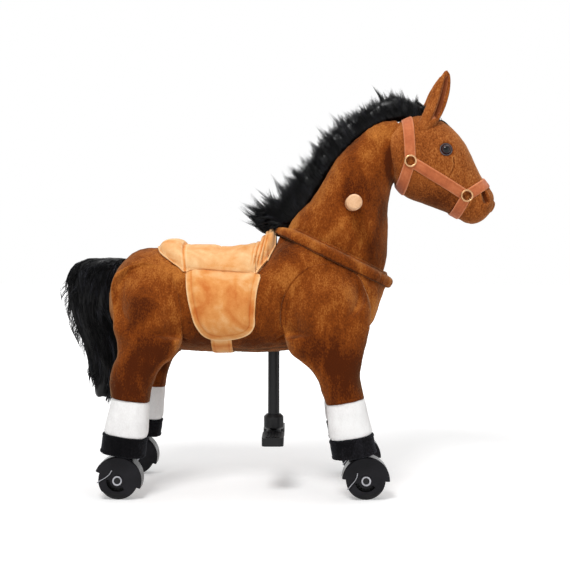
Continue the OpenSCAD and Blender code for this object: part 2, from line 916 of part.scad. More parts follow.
// Chassis
module main_frame() {
    color("DimGray")
        difference() {
            union() {
                for (s = [-1, 1]) {
                    block([front_pivot_x - rear_pivot_x, rail_t, rail_h],
                        [(front_pivot_x + rear_pivot_x) / 2, s * rail_y, pivot_h]);
                    at_front_pivot()
                        translate([0, s * rail_y, 0])
                            cross_rod(sleeve_d, sleeve_l);
                    at_rear_pivot()
                        translate([0, s * rail_y, 0])
                            cross_rod(sleeve_d, sleeve_l);
                }
                block([plate_l, 2 * rail_y, plate_t], [rear_pivot_x + 3 * plate_l / 2, 0, pivot_h]);
                block([plate_l, 2 * rail_y, plate_t], [post_x, 0, pivot_h - rail_h / 2]);
                block([plate_l, 2 * rail_y, plate_t], [steer_x - plate_l, 0, pivot_h]);
                translate([post_x, 0, post_top - post_socket_l])
                    cylinder(d = post_socket_d, h = post_socket_l);
                at_neck()
                    translate([0, 0, -thrust_z - steer_tube_l])
                        cylinder(d = steer_tube_d, h = steer_tube_l);
                block([stop_t, spring_d, lever_l + spring_d], [spring_x, -spring_y,
                    pivot_h + (lever_l + spring_d) / 2 - rail_h / 2]);
            }
            for (x = [front_pivot_x, rear_pivot_x])
                translate([x, 0, pivot_h])
                    cross_rod(leg_tube_d + 2 * run_gap, 2 * track);
            translate([post_x, 0, post_top - 2 * post_socket_l])
                cylinder(d = post_d + 2 * run_gap, h = 3 * post_socket_l);
            at_neck()
                translate([0, 0, -thrust_z - 2 * steer_tube_l])
                    cylinder(d = neck_stem_d + 2 * run_gap, h = 3 * steer_tube_l);
        }
}

module torso_plush() {
    color("SaddleBrown")
        skin()
            difference() {
                body_form(0);
                above_collar(0);
                for (s = [-1, 1]) {
                    at_front_pivot()
                        translate([0, s * (leg_in - air + span / 2), 0])
                            cross_rod(2 * shoulder_r, span, $fn = 26);
                    at_rear_pivot()
                        translate([0, s * (leg_in - air + span / 2), 0])
                            cross_rod(2 * haunch_r, span, $fn = 26);
                }
                difference() {
                    intersection() {
                        body_form(-body_wall);
                        block([2 * span, 2 * hollow_y, span], [0, 0, span / 2]);
                    }
                    above_collar(-thrust_z);
                }
                for (x = [front_pivot_x, rear_pivot_x])
                    translate([x, 0, pivot_h])
                        cross_rod(leg_tube_d + 4 * loose, span, $fn = 20);
                translate([post_x, 0, 0])
                    cylinder(d = post_d + 4 * loose, h = pivot_h, $fn = 20);
                at_neck()
                    translate([0, 0, -2 * thrust_z])
                        cylinder(d = steer_tube_d + 8 * loose, h = 4 * thrust_z, $fn = 24);
            }
}

module saddle_seat() {
    color("Peru")
        skin()
            difference() {
                loft([
                    for (s = seat_shares)
                        let (x = saddle_x + s[0] * saddle_len)
                            ring_between([x, seam_h + s[1] * saddle_rise], [x, seam_h + s[2] * saddle_rise],
                                s[3] * saddle_w / 2, 0, leg_round, neck_n)
                ]);
                body_form(lay);
                block([span, span, seam_h], [0, 0, seam_h / 2]);
                at_neck()
                    translate([0, 0, -air])
                        cylinder(r = steer_sweep_r, h = span);
            }
}

module girth_band(g) {
    intersection() {
        body_form(g);
        block([girth_w + 2 * g - 2 * girth_t, span, seam_h - flap_drop / 2],
            [saddle_x + girth_share * saddle_len, 0, (seam_h - flap_drop / 2) / 2]);
    }
}

module saddle_flap(side) {
    color("Peru")
        skin()
            difference() {
                intersection() {
                    body_form(flap_t);
                    translate([saddle_x, side * span / 2, seam_h - lay])
                        rotate([90, 0, 0])
                            linear_extrude(height = span - leg_in / 2, center = true)
                                polygon([for (s = flap_shares) [s[0] * saddle_len, s[1] * flap_drop]]);
                }
                body_form(lay);
                girth_band(girth_t + lay);
            }
}

module girth_strap() {
    color("Peru")
        skin()
            difference() {
                girth_band(girth_t);
                body_form(lay);
            }
}

module tail_hair() {
    color("Black")
        skin()
            difference() {
                loft([
                    for (s = tail_shares)
                        let (z = tail_z + s[0] * tail_h)
                            ring_between([s[1] * tail_run - tail_reach, z], [s[2] * tail_run - tail_reach, z],
                                s[3] * tail_w / 2, 0, hair_round, hair_n)
                ]);
                body_form(lay);
            }
}

module foot_post() {
    low = rest_h - rest_t;
    clamp_low = rest_h + rib_h + loose;
    narrow = post_clamp_d - 2 * post_clamp_edge;
    color("Black")
        difference() {
            translate([post_x, 0, 0])
                union() {
                    translate([0, 0, low]) {
                        cylinder(d = post_d, h = post_top - low);
                        cylinder(d = post_foot_d, h = post_foot_l);
                    }
                    translate([0, 0, clamp_low])
                        cylinder(d1 = narrow, d2 = post_clamp_d, h = post_clamp_edge);
                    translate([0, 0, clamp_low + post_clamp_edge])
                        cylinder(d = post_clamp_d, h = post_clamp_top - clamp_low - 2 * post_clamp_edge);
                    translate([0, 0, post_clamp_top - post_clamp_edge])
                        cylinder(d1 = post_clamp_d, d2 = narrow, h = post_clamp_edge);
                }
            translate([post_x, 0, rest_h - rest_t / 2])
                cross_rod(bar_d + 2 * run_gap, span);
        }
}

module foot_bar() {
    color("Silver")
        translate([post_x, 0, rest_h - rest_t / 2])
            cross_rod(bar_d, 2 * rest_reach - 2 * rest_r);
}

module foot_rest(side) {
    inner = post_foot_d / 2 + lay;
    wide = rest_reach - inner;
    color("Black")
        translate([post_x, side * (inner + wide / 2), rest_h - rest_t])
            difference() {
                union() {
                    block([rest_l - 2 * rest_r, wide, rest_t], [0, 0, rest_t / 2]);
                    block([rest_l, wide - 2 * rest_r, rest_t], [0, 0, rest_t / 2]);
                    for (x = [-1, 1], y = [-1, 1])
                        translate([x * (rest_l / 2 - rest_r), y * (wide / 2 - rest_r), 0])
                            cylinder(r = rest_r, h = rest_t);
                    for (i = [-2:2])
                        block([rib_w, wide - 2 * rest_r, rest_t + rib_h],
                            [i * 2 * rib_w, 0, (rest_t + rib_h) / 2]);
                }
                translate([0, -side * rest_r, rest_t / 2])
                    cross_rod(bar_d + 2 * run_gap, wide);
            }
}

module return_spring() {
    turn = (spring_d - spring_wire_d) / 2;
    travel = spring_len - spring_wire_d;
    steps = spring_turns * coil_steps;
    color("Silver")
        translate([spring_back + spring_wire_d / 2, -spring_y, rod_front_z])
            loft([
                for (i = [0:steps])
                    let (a = 360 * i / coil_steps)
                        [
                            for (j = [0:coil_n - 1])
                                let (
                                    b = 360 * j / coil_n,
                                    r = turn + spring_wire_d / 2 * cos(b)
                                )
                                    [
                                        travel * i / steps + spring_wire_d / 2 * sin(b),
                                        r * sin(a),
                                        r * cos(a)
                                    ]
                        ]
            ]);
}

module gait_rod() {
    color("Gray")
        at_front_pivot()
            translate([0, rod_y + rod_t / 2, lever_l])
                rotate([0, -rod_angle, 0])
                    difference() {
                        union() {
                            block([rod_len, rod_t, rod_w], [-rod_len / 2, 0, 0]);
                            cross_rod(rod_w + rod_pin_d / 2, rod_t);
                            translate([-rod_len, 0, 0])
                                cross_rod(rod_w + rod_pin_d / 2, rod_t);
                        }
                        cross_rod(rod_pin_d + 2 * run_gap, 2 * rod_t);
                        translate([-rod_len, 0, 0])
                            cross_rod(rod_pin_d + 2 * rod_play, 2 * rod_t);
                    }
}

// Neck and head
module neck_stem() {
    color("DimGray")
        difference() {
            union() {
                at_neck() {
                    translate([0, 0, -thrust_z - steer_tube_l])
                        cylinder(d = neck_stem_d, h = handle_up + thrust_z + steer_tube_l);
                    translate([0, 0, lay - thrust_z])
                        cylinder(d = steer_tube_d, h = thrust_z / 2);
                }
                translate([handle_x, 0, handle_z])
                    cross_rod(handle_d + rail_t, 2 * handle_d);
            }
            translate([handle_x, 0, handle_z])
                cross_rod(handle_d + 2 * run_gap, span);
        }
}

module neck_plush() {
    color("SaddleBrown")
        skin()
            difference() {
                intersection() {
                    neck_form(0);
                    above_collar(air);
                }
                head_form(lay);
                at_neck()
                    cylinder(d = neck_stem_d + 2 * loose, h = handle_up, $fn = 24);
                translate([handle_x, 0, handle_z]) {
                    cross_rod(handle_d + rail_t + 2 * loose, 2 * handle_d + 2 * loose, $fn = 28);
                    cross_rod(handle_d + 2 * loose, span, $fn = 28);
                }
            }
}

module neck_cuff() {
    r = cuff_d / 2;
    color("SaddleBrown")
        at_neck()
            translate([steer_back, 0, r + air])
                cuff_ring(r);
}

// A soft roll round the foot of the neck
module cuff_ring(r) {
    rings = [
        for (i = [0:band_n - 1])
            let (a = -360 * i / band_n)
                [
                    for (j = [0:cuff_n - 1])
                        let (b = 360 * j / cuff_n)
                            [(cuff_a + r * cos(b)) * cos(a), (cuff_b + r * cos(b)) * sin(a), r * sin(b)]
                ]
    ];
    sides = [
        for (k = [0:band_n - 1], j = [0:cuff_n - 1])
            let (m = (j + 1) % cuff_n, t = (k + 1) % band_n)
                each [
                    [k * cuff_n + j, k * cuff_n + m, t * cuff_n + m],
                    [k * cuff_n + j, t * cuff_n + m, t * cuff_n + j]
                ]
    ];
    polyhedron(points = [for (s = rings) each s], faces = sides, convexity = 8);
}

module at_both() {
    for (s = [-1, 1])
        scale([1, s, 1])
            children();
}

module eye_at(d) {
    at_both()
        translate([head_at(eye_shares)[0], -eye_out_share * head_w / 2, head_at(eye_shares)[1]])
            sphere(d = d);
}

module nostril_cut() {
    at_both()
        translate([head_at(nostril_shares)[0], -nostril_out_share * head_w / 2, head_at(nostril_shares)[1]])
            rotate([0, neck_lean, 0])
                scale(nostril_size_shares)
                    sphere(d = eye_d, $fn = 14);
}

module head_plush() {
    color("SaddleBrown")
        skin()
            difference() {
                head_form(0);
                eye_at(eye_d + 6 * lay, $fn = 14);
                nostril_cut();
            }
}

module eyes() {
    color("Black")
        eye_at(eye_d);
}

module ears() {
    color("SaddleBrown")
        skin()
            difference() {
                at_both()
                    loft([
                        for (s = ear_shares)
                            let (
                                base = head_at(ear_place_shares),
                                z = base[1] + s[0] * ear_h,
                                x = base[0] + s[1] * ear_w
                            )
                                ring_between([x - s[2] * ear_w / 2, z - s[2] * ear_w * ear_lean_share / 2],
                                    [x + s[2] * ear_w / 2, z + s[2] * ear_w * ear_lean_share / 2],
                                    s[3] * ear_t / 2, -ear_y, hair_round, hair_n)
                    ]);
                head_form(lay);
            }
}

module mane_hair() {
    color("Black")
        skin()
            difference() {
                intersection() {
                    loft([
                        for (s = mane_shares)
                            let (
                                q = [collar_x + s[0] * neck_run, collar_h + s[1] * neck_rise],
                                p = [collar_x + s[2] * neck_run, collar_h + s[3] * neck_rise]
                            )
                                ring_between(p, q + (q - p) * mane_root_share, s[4] * mane_w / 2, 0,
                                    hair_round, hair_n)
                    ]);
                    above_collar(cuff_d + 2 * air);
                }
                neck_form(lay);
                head_form(strap_t + 2 * lay);
            }
}

module handle_bar() {
    color("BurlyWood")
        translate([handle_x, 0, handle_z])
            rotate([90, 0, 0])
                rotate_extrude()
                    polygon([
                        [0, -handle_l / 2],
                        [handle_d / 2 - handle_edge, -handle_l / 2],
                        [handle_d / 2, handle_edge - handle_l / 2],
                        [handle_d / 2, -peg_in],
                        [handle_d / 2 - lay, -peg_in],
                        [handle_d / 2 - lay, peg_in],
                        [handle_d / 2, peg_in],
                        [handle_d / 2, handle_l / 2 - handle_edge],
                        [handle_d / 2 - handle_edge, handle_l / 2],
                        [0, handle_l / 2]
                    ]);
}

// A strap's course across the head in the side view
module course(a, b) {
    p = head_at(a);
    q = head_at(b);
    translate([p[0], 0, p[1]])
        rotate([0, -atan2(q[1] - p[1], q[0] - p[0]), 0])
            translate([0, -span / 2, -strap_w / 2])
                cube([norm(q - p), span, strap_w]);
}

module halter_straps() {
    color("Chocolate")
        skin()
            difference() {
                intersection() {
                    head_form(strap_t);
                    union() {
                        course(ring_high_shares, crown_end_shares);
                        course(ring_high_shares, throat_end_shares);
                        course(ring_high_shares, ring_low_shares);
                        course(ring_low_shares, nose_end_shares);
                        course(ring_low_shares, chin_end_shares);
                    }
                }
                head_form(lay);
                neck_form(lay);
            }
}

module halter_ring(place, share) {
    at_both()
        translate([head_at(place)[0], -share * head_w / 2 - strap_t - ring_t / 2, head_at(place)[1]])
            rotate([90, 0, 0])
                rotate_extrude()
                    translate([(ring_d - ring_t) / 2, 0])
                        circle(d = ring_t);
}

module halter_rings() {
    color("Khaki") {
        halter_ring(ring_high_shares, ring_out_shares[0]);
        halter_ring(ring_low_shares, ring_out_shares[1]);
    }
}

// Right is the side of -Y, left the side of +Y
module front_shaft() {
    color("Gray")
        at_front_pivot()
            cross_shaft(1, true);
}

module rear_shaft() {
    color("Gray")
        at_rear_pivot()
            cross_shaft(-1, false);
}

module front_leg_tube(side) {
    color("DimGray")
        at_leg(true, side)
            leg_tube(front_len);
}

module rear_leg_tube(side) {
    color("DimGray")
        at_leg(false, side)
            leg_tube(rear_len);
}

module leg_skin(front, side) {
    color("SaddleBrown")
        leg_plush(front, side);
}

module sock_skin(front, side) {
    color("White")
        sock(front, side);
}

module hoof_skin(front, side) {
    color("Black")
        hoof(front, side);
}

module wheel_fork(front, side) {
    color("DarkSlateGray")
        at_wheel(front, side)
            fork(front ? fork_offset : 0);
}

module wheel_axle(front, side) {
    color("Silver")
        at_wheel(front, side)
            axle();
}

module wheel_pawl(front, side) {
    color("Silver")
        at_wheel(front, side)
            pawl();
}

module rear_axles() {
    for (s = [-1, 1])
        wheel_axle(false, s);
}

module rear_pawls() {
    for (s = [-1, 1])
        wheel_pawl(false, s);
}

module wheel_hub(front, side) {
    color("DimGray")
        at_wheel(front, side)
            hub();
}

module wheel_tyre(front, side) {
    color("Black")
        at_wheel(front, side)
            tyre();
}

main_frame();
torso_plush();
saddle_seat();
saddle_flap(-1);  // saddle_flap_right
saddle_flap(1);  // saddle_flap_left
girth_strap();
tail_hair();
foot_post();
foot_bar();
foot_rest(-1);  // foot_rest_right
foot_rest(1);  // foot_rest_left
return_spring();
front_shaft();
front_leg_tube(-1);  // front_leg_tube_right
front_leg_tube(1);  // front_leg_tube_left
leg_skin(true, -1);  // front_leg_plush_right
leg_skin(true, 1);  // front_leg_plush_left
sock_skin(true, -1);  // front_sock_right
sock_skin(true, 1);  // front_sock_left
hoof_skin(true, -1);  // front_hoof_right
hoof_skin(true, 1);  // front_hoof_left
wheel_fork(true, -1);  // fork_front_right
wheel_fork(true, 1);  // fork_front_left
wheel_axle(true, -1);  // axle_front_right
wheel_axle(true, 1);  // axle_front_left
wheel_pawl(true, -1);  // pawl_front_right
wheel_pawl(true, 1);  // pawl_front_left
wheel_hub(true, -1);  // hub_front_right
wheel_hub(true, 1);  // hub_front_left
wheel_tyre(true, -1);  // tyre_front_right
wheel_tyre(true, 1);  // tyre_front_left
rear_shaft();
rear_leg_tube(-1);  // rear_leg_tube_right
rear_leg_tube(1);  // rear_leg_tube_left
leg_skin(false, -1);  // rear_leg_plush_right
leg_skin(false, 1);  // rear_leg_plush_left
sock_skin(false, -1);  // rear_sock_right
sock_skin(false, 1);  // rear_sock_left
hoof_skin(false, -1);  // rear_hoof_right
hoof_skin(false, 1);  // rear_hoof_left
wheel_fork(false, -1);  // fork_rear_right
wheel_fork(false, 1);  // fork_rear_left
rear_axles();
rear_pawls();
wheel_hub(false, -1);  // hub_rear_right
wheel_hub(false, 1);  // hub_rear_left
wheel_tyre(false, -1);  // tyre_rear_right
wheel_tyre(false, 1);  // tyre_rear_left
gait_rod();
neck_stem();
neck_plush();
neck_cuff();
head_plush();
ears();
eyes();
mane_hair();
handle_bar();
halter_straps();
halter_rings();
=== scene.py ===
import math

import bmesh
import bpy
import numpy as np
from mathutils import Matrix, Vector
from mathutils.bvhtree import BVHTree


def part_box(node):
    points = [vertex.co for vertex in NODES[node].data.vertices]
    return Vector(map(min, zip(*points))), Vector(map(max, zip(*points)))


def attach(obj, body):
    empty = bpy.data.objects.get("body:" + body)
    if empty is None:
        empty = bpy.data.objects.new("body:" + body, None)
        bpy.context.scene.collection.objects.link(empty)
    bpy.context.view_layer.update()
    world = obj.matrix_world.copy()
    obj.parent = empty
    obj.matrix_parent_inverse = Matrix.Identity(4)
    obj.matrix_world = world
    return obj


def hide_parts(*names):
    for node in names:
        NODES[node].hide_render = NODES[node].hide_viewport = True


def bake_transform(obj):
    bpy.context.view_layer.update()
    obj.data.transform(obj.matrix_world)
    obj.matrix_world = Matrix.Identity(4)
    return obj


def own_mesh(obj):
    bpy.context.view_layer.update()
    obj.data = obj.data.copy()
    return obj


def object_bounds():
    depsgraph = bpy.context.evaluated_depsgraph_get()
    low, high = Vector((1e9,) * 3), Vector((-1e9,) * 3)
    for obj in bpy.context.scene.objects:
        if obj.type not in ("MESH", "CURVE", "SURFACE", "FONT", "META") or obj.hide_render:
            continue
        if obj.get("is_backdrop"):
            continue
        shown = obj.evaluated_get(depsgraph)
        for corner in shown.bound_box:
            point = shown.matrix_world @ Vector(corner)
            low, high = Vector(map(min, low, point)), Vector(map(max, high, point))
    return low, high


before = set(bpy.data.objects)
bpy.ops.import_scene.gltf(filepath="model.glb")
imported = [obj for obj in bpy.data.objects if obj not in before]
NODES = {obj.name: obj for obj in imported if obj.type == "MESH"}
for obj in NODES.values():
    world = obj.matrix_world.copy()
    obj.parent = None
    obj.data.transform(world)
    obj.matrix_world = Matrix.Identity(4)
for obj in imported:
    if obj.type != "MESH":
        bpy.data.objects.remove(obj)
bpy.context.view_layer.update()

SCENE = bpy.context.scene
# Lengths below are millimetres in the CAD frame, as in the part's source
MM = 0.001
FAR_AWAY = 1e9
SIDES = (("right", -1), ("left", 1))


# Small helpers
def step(low, high, value):
    """0 below low, 1 above high, smooth between"""
    t = np.clip((value - low) / (high - low), 0, 1)
    return t * t * (3 - 2 * t)


def bell(far, width, power=2):
    """1 at no distance, falling smoothly to nothing past width"""
    return np.exp(-((far / width) ** power))


def rounded(wave, power):
    """A sine or cosine bent towards a squarer or a rounder section"""
    return np.sign(wave) * np.abs(wave) ** power


def angles(count):
    """Even turns round a circle"""
    return np.linspace(0, 2 * np.pi, count, endpoint=False)


def srgb(red, green, blue):
    """A display colour of 0 to 255 as linear light"""
    c = np.array([red, green, blue]) / 255
    c = np.where(c <= 0.04045, c / 12.92, ((c + 0.055) / 1.055) ** 2.4)
    return (*c, 1.0)


def fuzz(points, size, seed):
    """Smooth noise from -1 to 1 with features about size across"""
    q = points / size + seed * 7.31
    cell = np.floor(q).astype(np.int64)
    f = q - cell
    f = f * f * (3 - 2 * f)
    total = np.zeros(len(points))
    for corner in range(8):
        d = np.array([corner & 1, corner >> 1 & 1, corner >> 2])
        k = cell + d
        h = (k[:, 0] * 73856093) ^ (k[:, 1] * 19349663) ^ (k[:, 2] * 83492791)
        h = (h ^ (h >> 13)) * 1274126177 & 0x7FFFFFFF
        h = (h ^ (h >> 16)) & 0xFFFF
        total += np.prod(np.where(d, f, 1 - f), axis=1) * (h / 32767.5 - 1)
    return total


def smooth_rows(rows, count):
    """Table rows joined by a smooth curve and read at count even places"""
    r = np.array(rows, float)
    t = np.concatenate([[0], np.cumsum(np.linalg.norm(np.diff(r, axis=0), axis=1))])
    m = np.gradient(r, t, axis=0)
    s = np.linspace(0, t[-1], count)
    k = np.clip(np.searchsorted(t, s, "right") - 1, 0, len(t) - 2)
    h = (t[k + 1] - t[k])[:, None]
    u = (s - t[k])[:, None] / h
    return (
        (2 * u**3 - 3 * u**2 + 1) * r[k]
        + (u**3 - 2 * u**2 + u) * h * m[k]
        + (3 * u**2 - 2 * u**3) * r[k + 1]
        + (u**3 - u**2) * h * m[k + 1]
    )


def upright_rows(shares, x, z, width, power, count):
    """Rows of upright sections from shares of a run, a rise and a width"""
    rows = []
    for a, top, low, wide in shares:
        at = x[0] + a * x[1]
        rows.append((at, z[0] + top * z[1], at, z[0] + low * z[1], wide * width / 2, 0, power))
    return smooth_rows(rows, count)


def leaning_rows(shares, at, width, count):
    """Rows of leaning sections from both ends' places and a share of a width"""
    rows = [(*at(a, b), *at(c, d), w * width / 2, 0, HEAD_ROUND) for a, b, c, d, w in shares]
    return smooth_rows(rows, count)


def sections(rows, around):
    """Closed sections from rows of: two ends in the side view, half width, middle, roundness"""
    r = np.array(rows, float)
    a = angles(around)
    u, v = rounded(np.cos(a), r[:, 6:7]), rounded(np.sin(a), r[:, 6:7])
    x = (r[:, 0:1] + r[:, 2:3]) / 2 + u * (r[:, 0:1] - r[:, 2:3]) / 2
    z = (r[:, 1:2] + r[:, 3:4]) / 2 + u * (r[:, 1:2] - r[:, 3:4]) / 2
    return np.stack([x, r[:, 5:6] + v * r[:, 4:5], z], 2)


def domed(rings, first, last, steps=6):
    """The rings with a low dome of rings added at each end"""

    def cap(end, inner, height):
        middle = end.mean(0)
        way = middle - inner.mean(0)
        way = way / np.linalg.norm(way) * height
        turns = np.linspace(0, np.pi / 2, steps + 1)[1:-1]
        return np.array([middle + (end - middle) * np.cos(t) + way * np.sin(t) for t in turns])

    return np.concatenate([cap(rings[0], rings[1], first)[::-1], rings, cap(rings[-1], rings[-2], last)])


def quads(m, n, loop_rows=False, loop_columns=True):
    """Faces between m rows of n points"""
    rows, columns = np.arange(m if loop_rows else m - 1), np.arange(n if loop_columns else n - 1)
    k, j = np.meshgrid(rows, columns, indexing="ij")
    after, i = (k + 1) % m, (j + 1) % n
    return np.stack([k * n + j, k * n + i, after * n + i, after * n + j], -1).reshape(-1, 4)


def new_mesh(name, points, faces):
    mesh = bpy.data.meshes.new(name)
    mesh.from_pydata((np.asarray(points) * MM).tolist(), [], faces)
    mesh.validate()
    mesh.polygons.foreach_set("use_smooth", [True] * len(mesh.polygons))
    return mesh


def closed_mesh(name, points, faces):
    """A closed skin, turned over if it would be inside out"""
    p = np.asarray(points) - np.mean(points, axis=0)
    f = np.array([face[:3] for face in faces])
    volume = np.einsum("ij,ij->", p[f[:, 0]], np.cross(p[f[:, 1]], p[f[:, 2]]))
    return new_mesh(name, points, faces if volume > 0 else [face[::-1] for face in faces])


def skin(name, rings):
    """A skin over rings of points, closed at both ends by a point"""
    m, n = rings.shape[:2]
    points = np.concatenate([rings.reshape(-1, 3), [rings[0].mean(0)], [rings[-1].mean(0)]])
    faces = quads(m, n).tolist()
    for j in range(n):
        i = (j + 1) % n
        faces += [[i, j, m * n], [(m - 1) * n + j, (m - 1) * n + i, m * n + 1]]
    return closed_mesh(name, points, faces)


def hoop(name, rings):
    """A skin over rings of points whose last joins the first"""
    return closed_mesh(name, rings.reshape(-1, 3), quads(*rings.shape[:2], True).tolist())


def points_of(mesh):
    co = np.empty(len(mesh.vertices) * 3, np.float32)
    mesh.vertices.foreach_get("co", co)
    return co.reshape(-1, 3).astype(float) / MM


def normals_of(mesh):
    no = np.empty(len(mesh.vertices) * 3, np.float32)
    mesh.vertex_normals.foreach_get("vector", no)
    return no.reshape(-1, 3).astype(float)


def set_points(mesh, points):
    mesh.vertices.foreach_set("co", (points * MM).astype(np.float32).ravel())
    mesh.update()


def swell(mesh, lift):
    """Moves a mesh's points out along their normals"""
    set_points(mesh, points_of(mesh) + normals_of(mesh) * np.asarray(lift)[:, None])


def set_value(mesh, name, values):
    layer = mesh.attributes.get(name) or mesh.attributes.new(name, "FLOAT", "POINT")
    layer.data.foreach_set("value", np.asarray(values, np.float32))


def line_distance(points, line):
    """Distance of points in the side view from a line of points"""
    p = points[:, [0, 2]]
    best = np.full(len(p), FAR_AWAY)
    line = np.array(line, float)
    for a, b in zip(line, line[1:]):
        ab = b - a
        t = np.clip(((p - a) @ ab) / (ab @ ab), 0, 1)
        best = np.minimum(best, np.linalg.norm(p - a - t[:, None] * ab, axis=1))
    return best


def piece(name, mesh, material, body, slot, *replaced, fill=None, sewn=None):
    """A finished piece that rides on a body, or, given a sewn line, stays unparented with its placement
    baked in
    """
    obj = bpy.data.objects.new(name, mesh)
    SCENE.collection.objects.link(obj)
    mesh.materials.append(material)
    if sewn is None:
        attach(obj, body)
    else:
        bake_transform(obj)
    if replaced:
        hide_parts(*replaced)
    return obj


def nap(mesh, seed, pile, lumps, seams=(), calm=1.0):
    """Stuffing lumps and combed pile on a skin, with sewn lines pressed in"""
    p = points_of(mesh)
    q = p * [1, 1, 0.5]
    tuft = fuzz(q, 7.5, seed + 2) + 0.6 * fuzz(q, 4.2, seed + 3)
    lift = lumps * fuzz(p, 55, seed) + lumps * 0.5 * fuzz(p, 24, seed + 1) + pile * calm * tuft
    tone = 0.04 * tuft
    for line, width, depth in seams:
        d = line_distance(p, line)
        lift -= depth * bell(d, width)
        tone -= 0.42 * bell(d, 0.6 * width)
        tone += 0.16 * bell(d - 1.9 * width, width)
    swell(mesh, lift)
    set_value(mesh, "tone", tone)
    return p, tone


def tube(name, line, radius, sides=8, closed=False):
    """A round cord along a line of points"""
    p = np.asarray(line, float)
    t = np.roll(p, -1, 0) - np.roll(p, 1, 0) if closed else np.gradient(p, axis=0)
    t /= np.linalg.norm(t, axis=1)[:, None]
    up = np.cross(t[0], [0.31, 0.52, 0.79])
    a = angles(sides)
    rings = []
    for spot, way in zip(p, t):
        up = up - way * np.dot(up, way)
        up /= np.linalg.norm(up)
        rings.append(spot + radius * (np.outer(np.cos(a), up) + np.outer(np.sin(a), np.cross(way, up))))
    rings = np.array(rings)
    return hoop(name, rings) if closed else skin(name, domed(rings, radius * 0.6, radius * 0.6, 4))


def slab(name, outer, inner):
    """A closed sheet between two grids of points"""
    m, n = outer.shape[:2]
    points = np.concatenate([outer.reshape(-1, 3), inner.reshape(-1, 3)])
    top = quads(m, n, False, False)
    faces = top.tolist() + (top[:, ::-1] + m * n).tolist()
    rim = list(range(n)) + [k * n + n - 1 for k in range(1, m)]
    rim += [(m - 1) * n + j for j in range(n - 2, -1, -1)] + [k * n for k in range(m - 2, 0, -1)]
    for a, b in zip(rim, rim[1:] + rim[:1]):
        faces.append([b, a, a + m * n, b + m * n])
    return closed_mesh(name, points, faces)


# The cloth runs on every third row and column, for these frames
CLOTH_STRIDE = 3
CLOTH_FRAMES = 20


def stuffed(grid, seams, pressure, cap):
    """A cover's grid of points run as cloth: stuffing presses it outward, and its edges and seams hold it"""
    rows, cols = (np.unique(np.append(np.arange(0, k, CLOTH_STRIDE), k - 1)) for k in grid.shape[:2])
    rest = grid[np.ix_(rows, cols)]
    m, n = rest.shape[:2]
    mesh = new_mesh("cover", rest.reshape(-1, 3), quads(m, n, False, False).tolist())
    out = points_of(mesh) - [rest[..., 0].mean(), 0, PIVOT_H]
    if (normals_of(mesh) * out * [0, 1, 1]).sum() < 0:
        mesh.flip_normals()
    held = seams[np.ix_(rows, cols)].copy()
    held[[0, -1]] = True
    held[:, [0, -1]] = True
    obj = bpy.data.objects.new("cover", mesh)
    SCENE.collection.objects.link(obj)
    obj.vertex_groups.new(name="seams").add(np.nonzero(held.reshape(-1))[0].tolist(), 1.0, "REPLACE")
    cloth = obj.modifiers.new("cloth", "CLOTH").settings
    cloth.vertex_group_mass = "seams"
    cloth.use_pressure = True
    cloth.uniform_pressure_force = pressure
    cloth.effector_weights.gravity = 0
    for tick in range(1, CLOTH_FRAMES + 1):
        SCENE.frame_set(tick)
    done = obj.evaluated_get(bpy.context.evaluated_depsgraph_get())
    move = points_of(done.to_mesh()).reshape(m, n, 3) - rest
    done.to_mesh_clear()
    SCENE.frame_set(1)
    bpy.data.objects.remove(obj)
    bpy.data.meshes.remove(mesh)
    far = np.linalg.norm(move, axis=2, keepdims=True)
    move *= np.minimum(far, cap) / np.maximum(far, 1e-6)
    for axis, (known, count) in enumerate(((rows, grid.shape[0]), (cols, grid.shape[1]))):
        move = np.apply_along_axis(lambda line: np.interp(np.arange(count), known, line), axis, move)
    return grid + move


def joined(name, meshes):
    """Several meshes as one"""
    points, faces, base = [], [], 0
    for mesh in meshes:
        points.append(points_of(mesh))
        faces += [[v + base for v in f.vertices] for f in mesh.polygons]
        base += len(mesh.vertices)
        bpy.data.meshes.remove(mesh)
    return new_mesh(name, np.concatenate(points), faces)


# Materials
def material(name, **sockets):
    """A new material with constants on its shader's sockets"""
    mat = bpy.data.materials.new(name)
    mat.use_nodes = True
    shader = mat.node_tree.nodes["Principled BSDF"]
    for key, value in sockets.items():
        shader.inputs[key.replace("_", " ")].default_value = value
    return mat, mat.node_tree, shader


def node(tree, kind, inputs=(), **settings):
    made = tree.nodes.new(kind)
    for key, value in settings.items():
        setattr(made, key, value)
    for key, value in dict(inputs).items():
        if isinstance(value, bpy.types.NodeSocket):
            tree.links.new(value, made.inputs[key])
        else:
            made.inputs[key].default_value = value
    return made


def place(tree, stretch=(1, 1, 1)):
    co = node(tree, "ShaderNodeTexCoord").outputs["Object"]
    return node(tree, "ShaderNodeMapping", {"Vector": co, "Scale": stretch}).outputs["Vector"]


def grain(tree, scale, detail=2.0, rough=0.5, stretch=(1, 1, 1), twist=0.0):
    put = {"Vector": place(tree, stretch), "Scale": scale, "Detail": detail}
    put.update(Roughness=rough, Distortion=twist)
    return node(tree, "ShaderNodeTexNoise", put).outputs["Fac"]


def maths(tree, what, a, b, c=0.0):
    return node(tree, "ShaderNodeMath", {0: a, 1: b, 2: c}, operation=what).outputs[0]


def vector_maths(tree, what, out, *values):
    return node(tree, "ShaderNodeVectorMath", dict(enumerate(values)), operation=what).outputs[out]


def attribute(tree, name):
    return node(tree, "ShaderNodeAttribute", attribute_name=name).outputs["Fac"]


def blended(tree, start, *parts):
    """start plus each part's noise about its middle, times its weight"""
    total = None
    for value, weight in parts:
        base = start - weight / 2 if total is None else -weight / 2
        shifted = maths(tree, "MULTIPLY_ADD", value, weight, base)
        total = shifted if total is None else maths(tree, "ADD", total, shifted)
    return total


def toned(tree, value):
    """A value plus the mesh's own tone"""
    return maths(tree, "ADD", value, attribute(tree, "tone"))


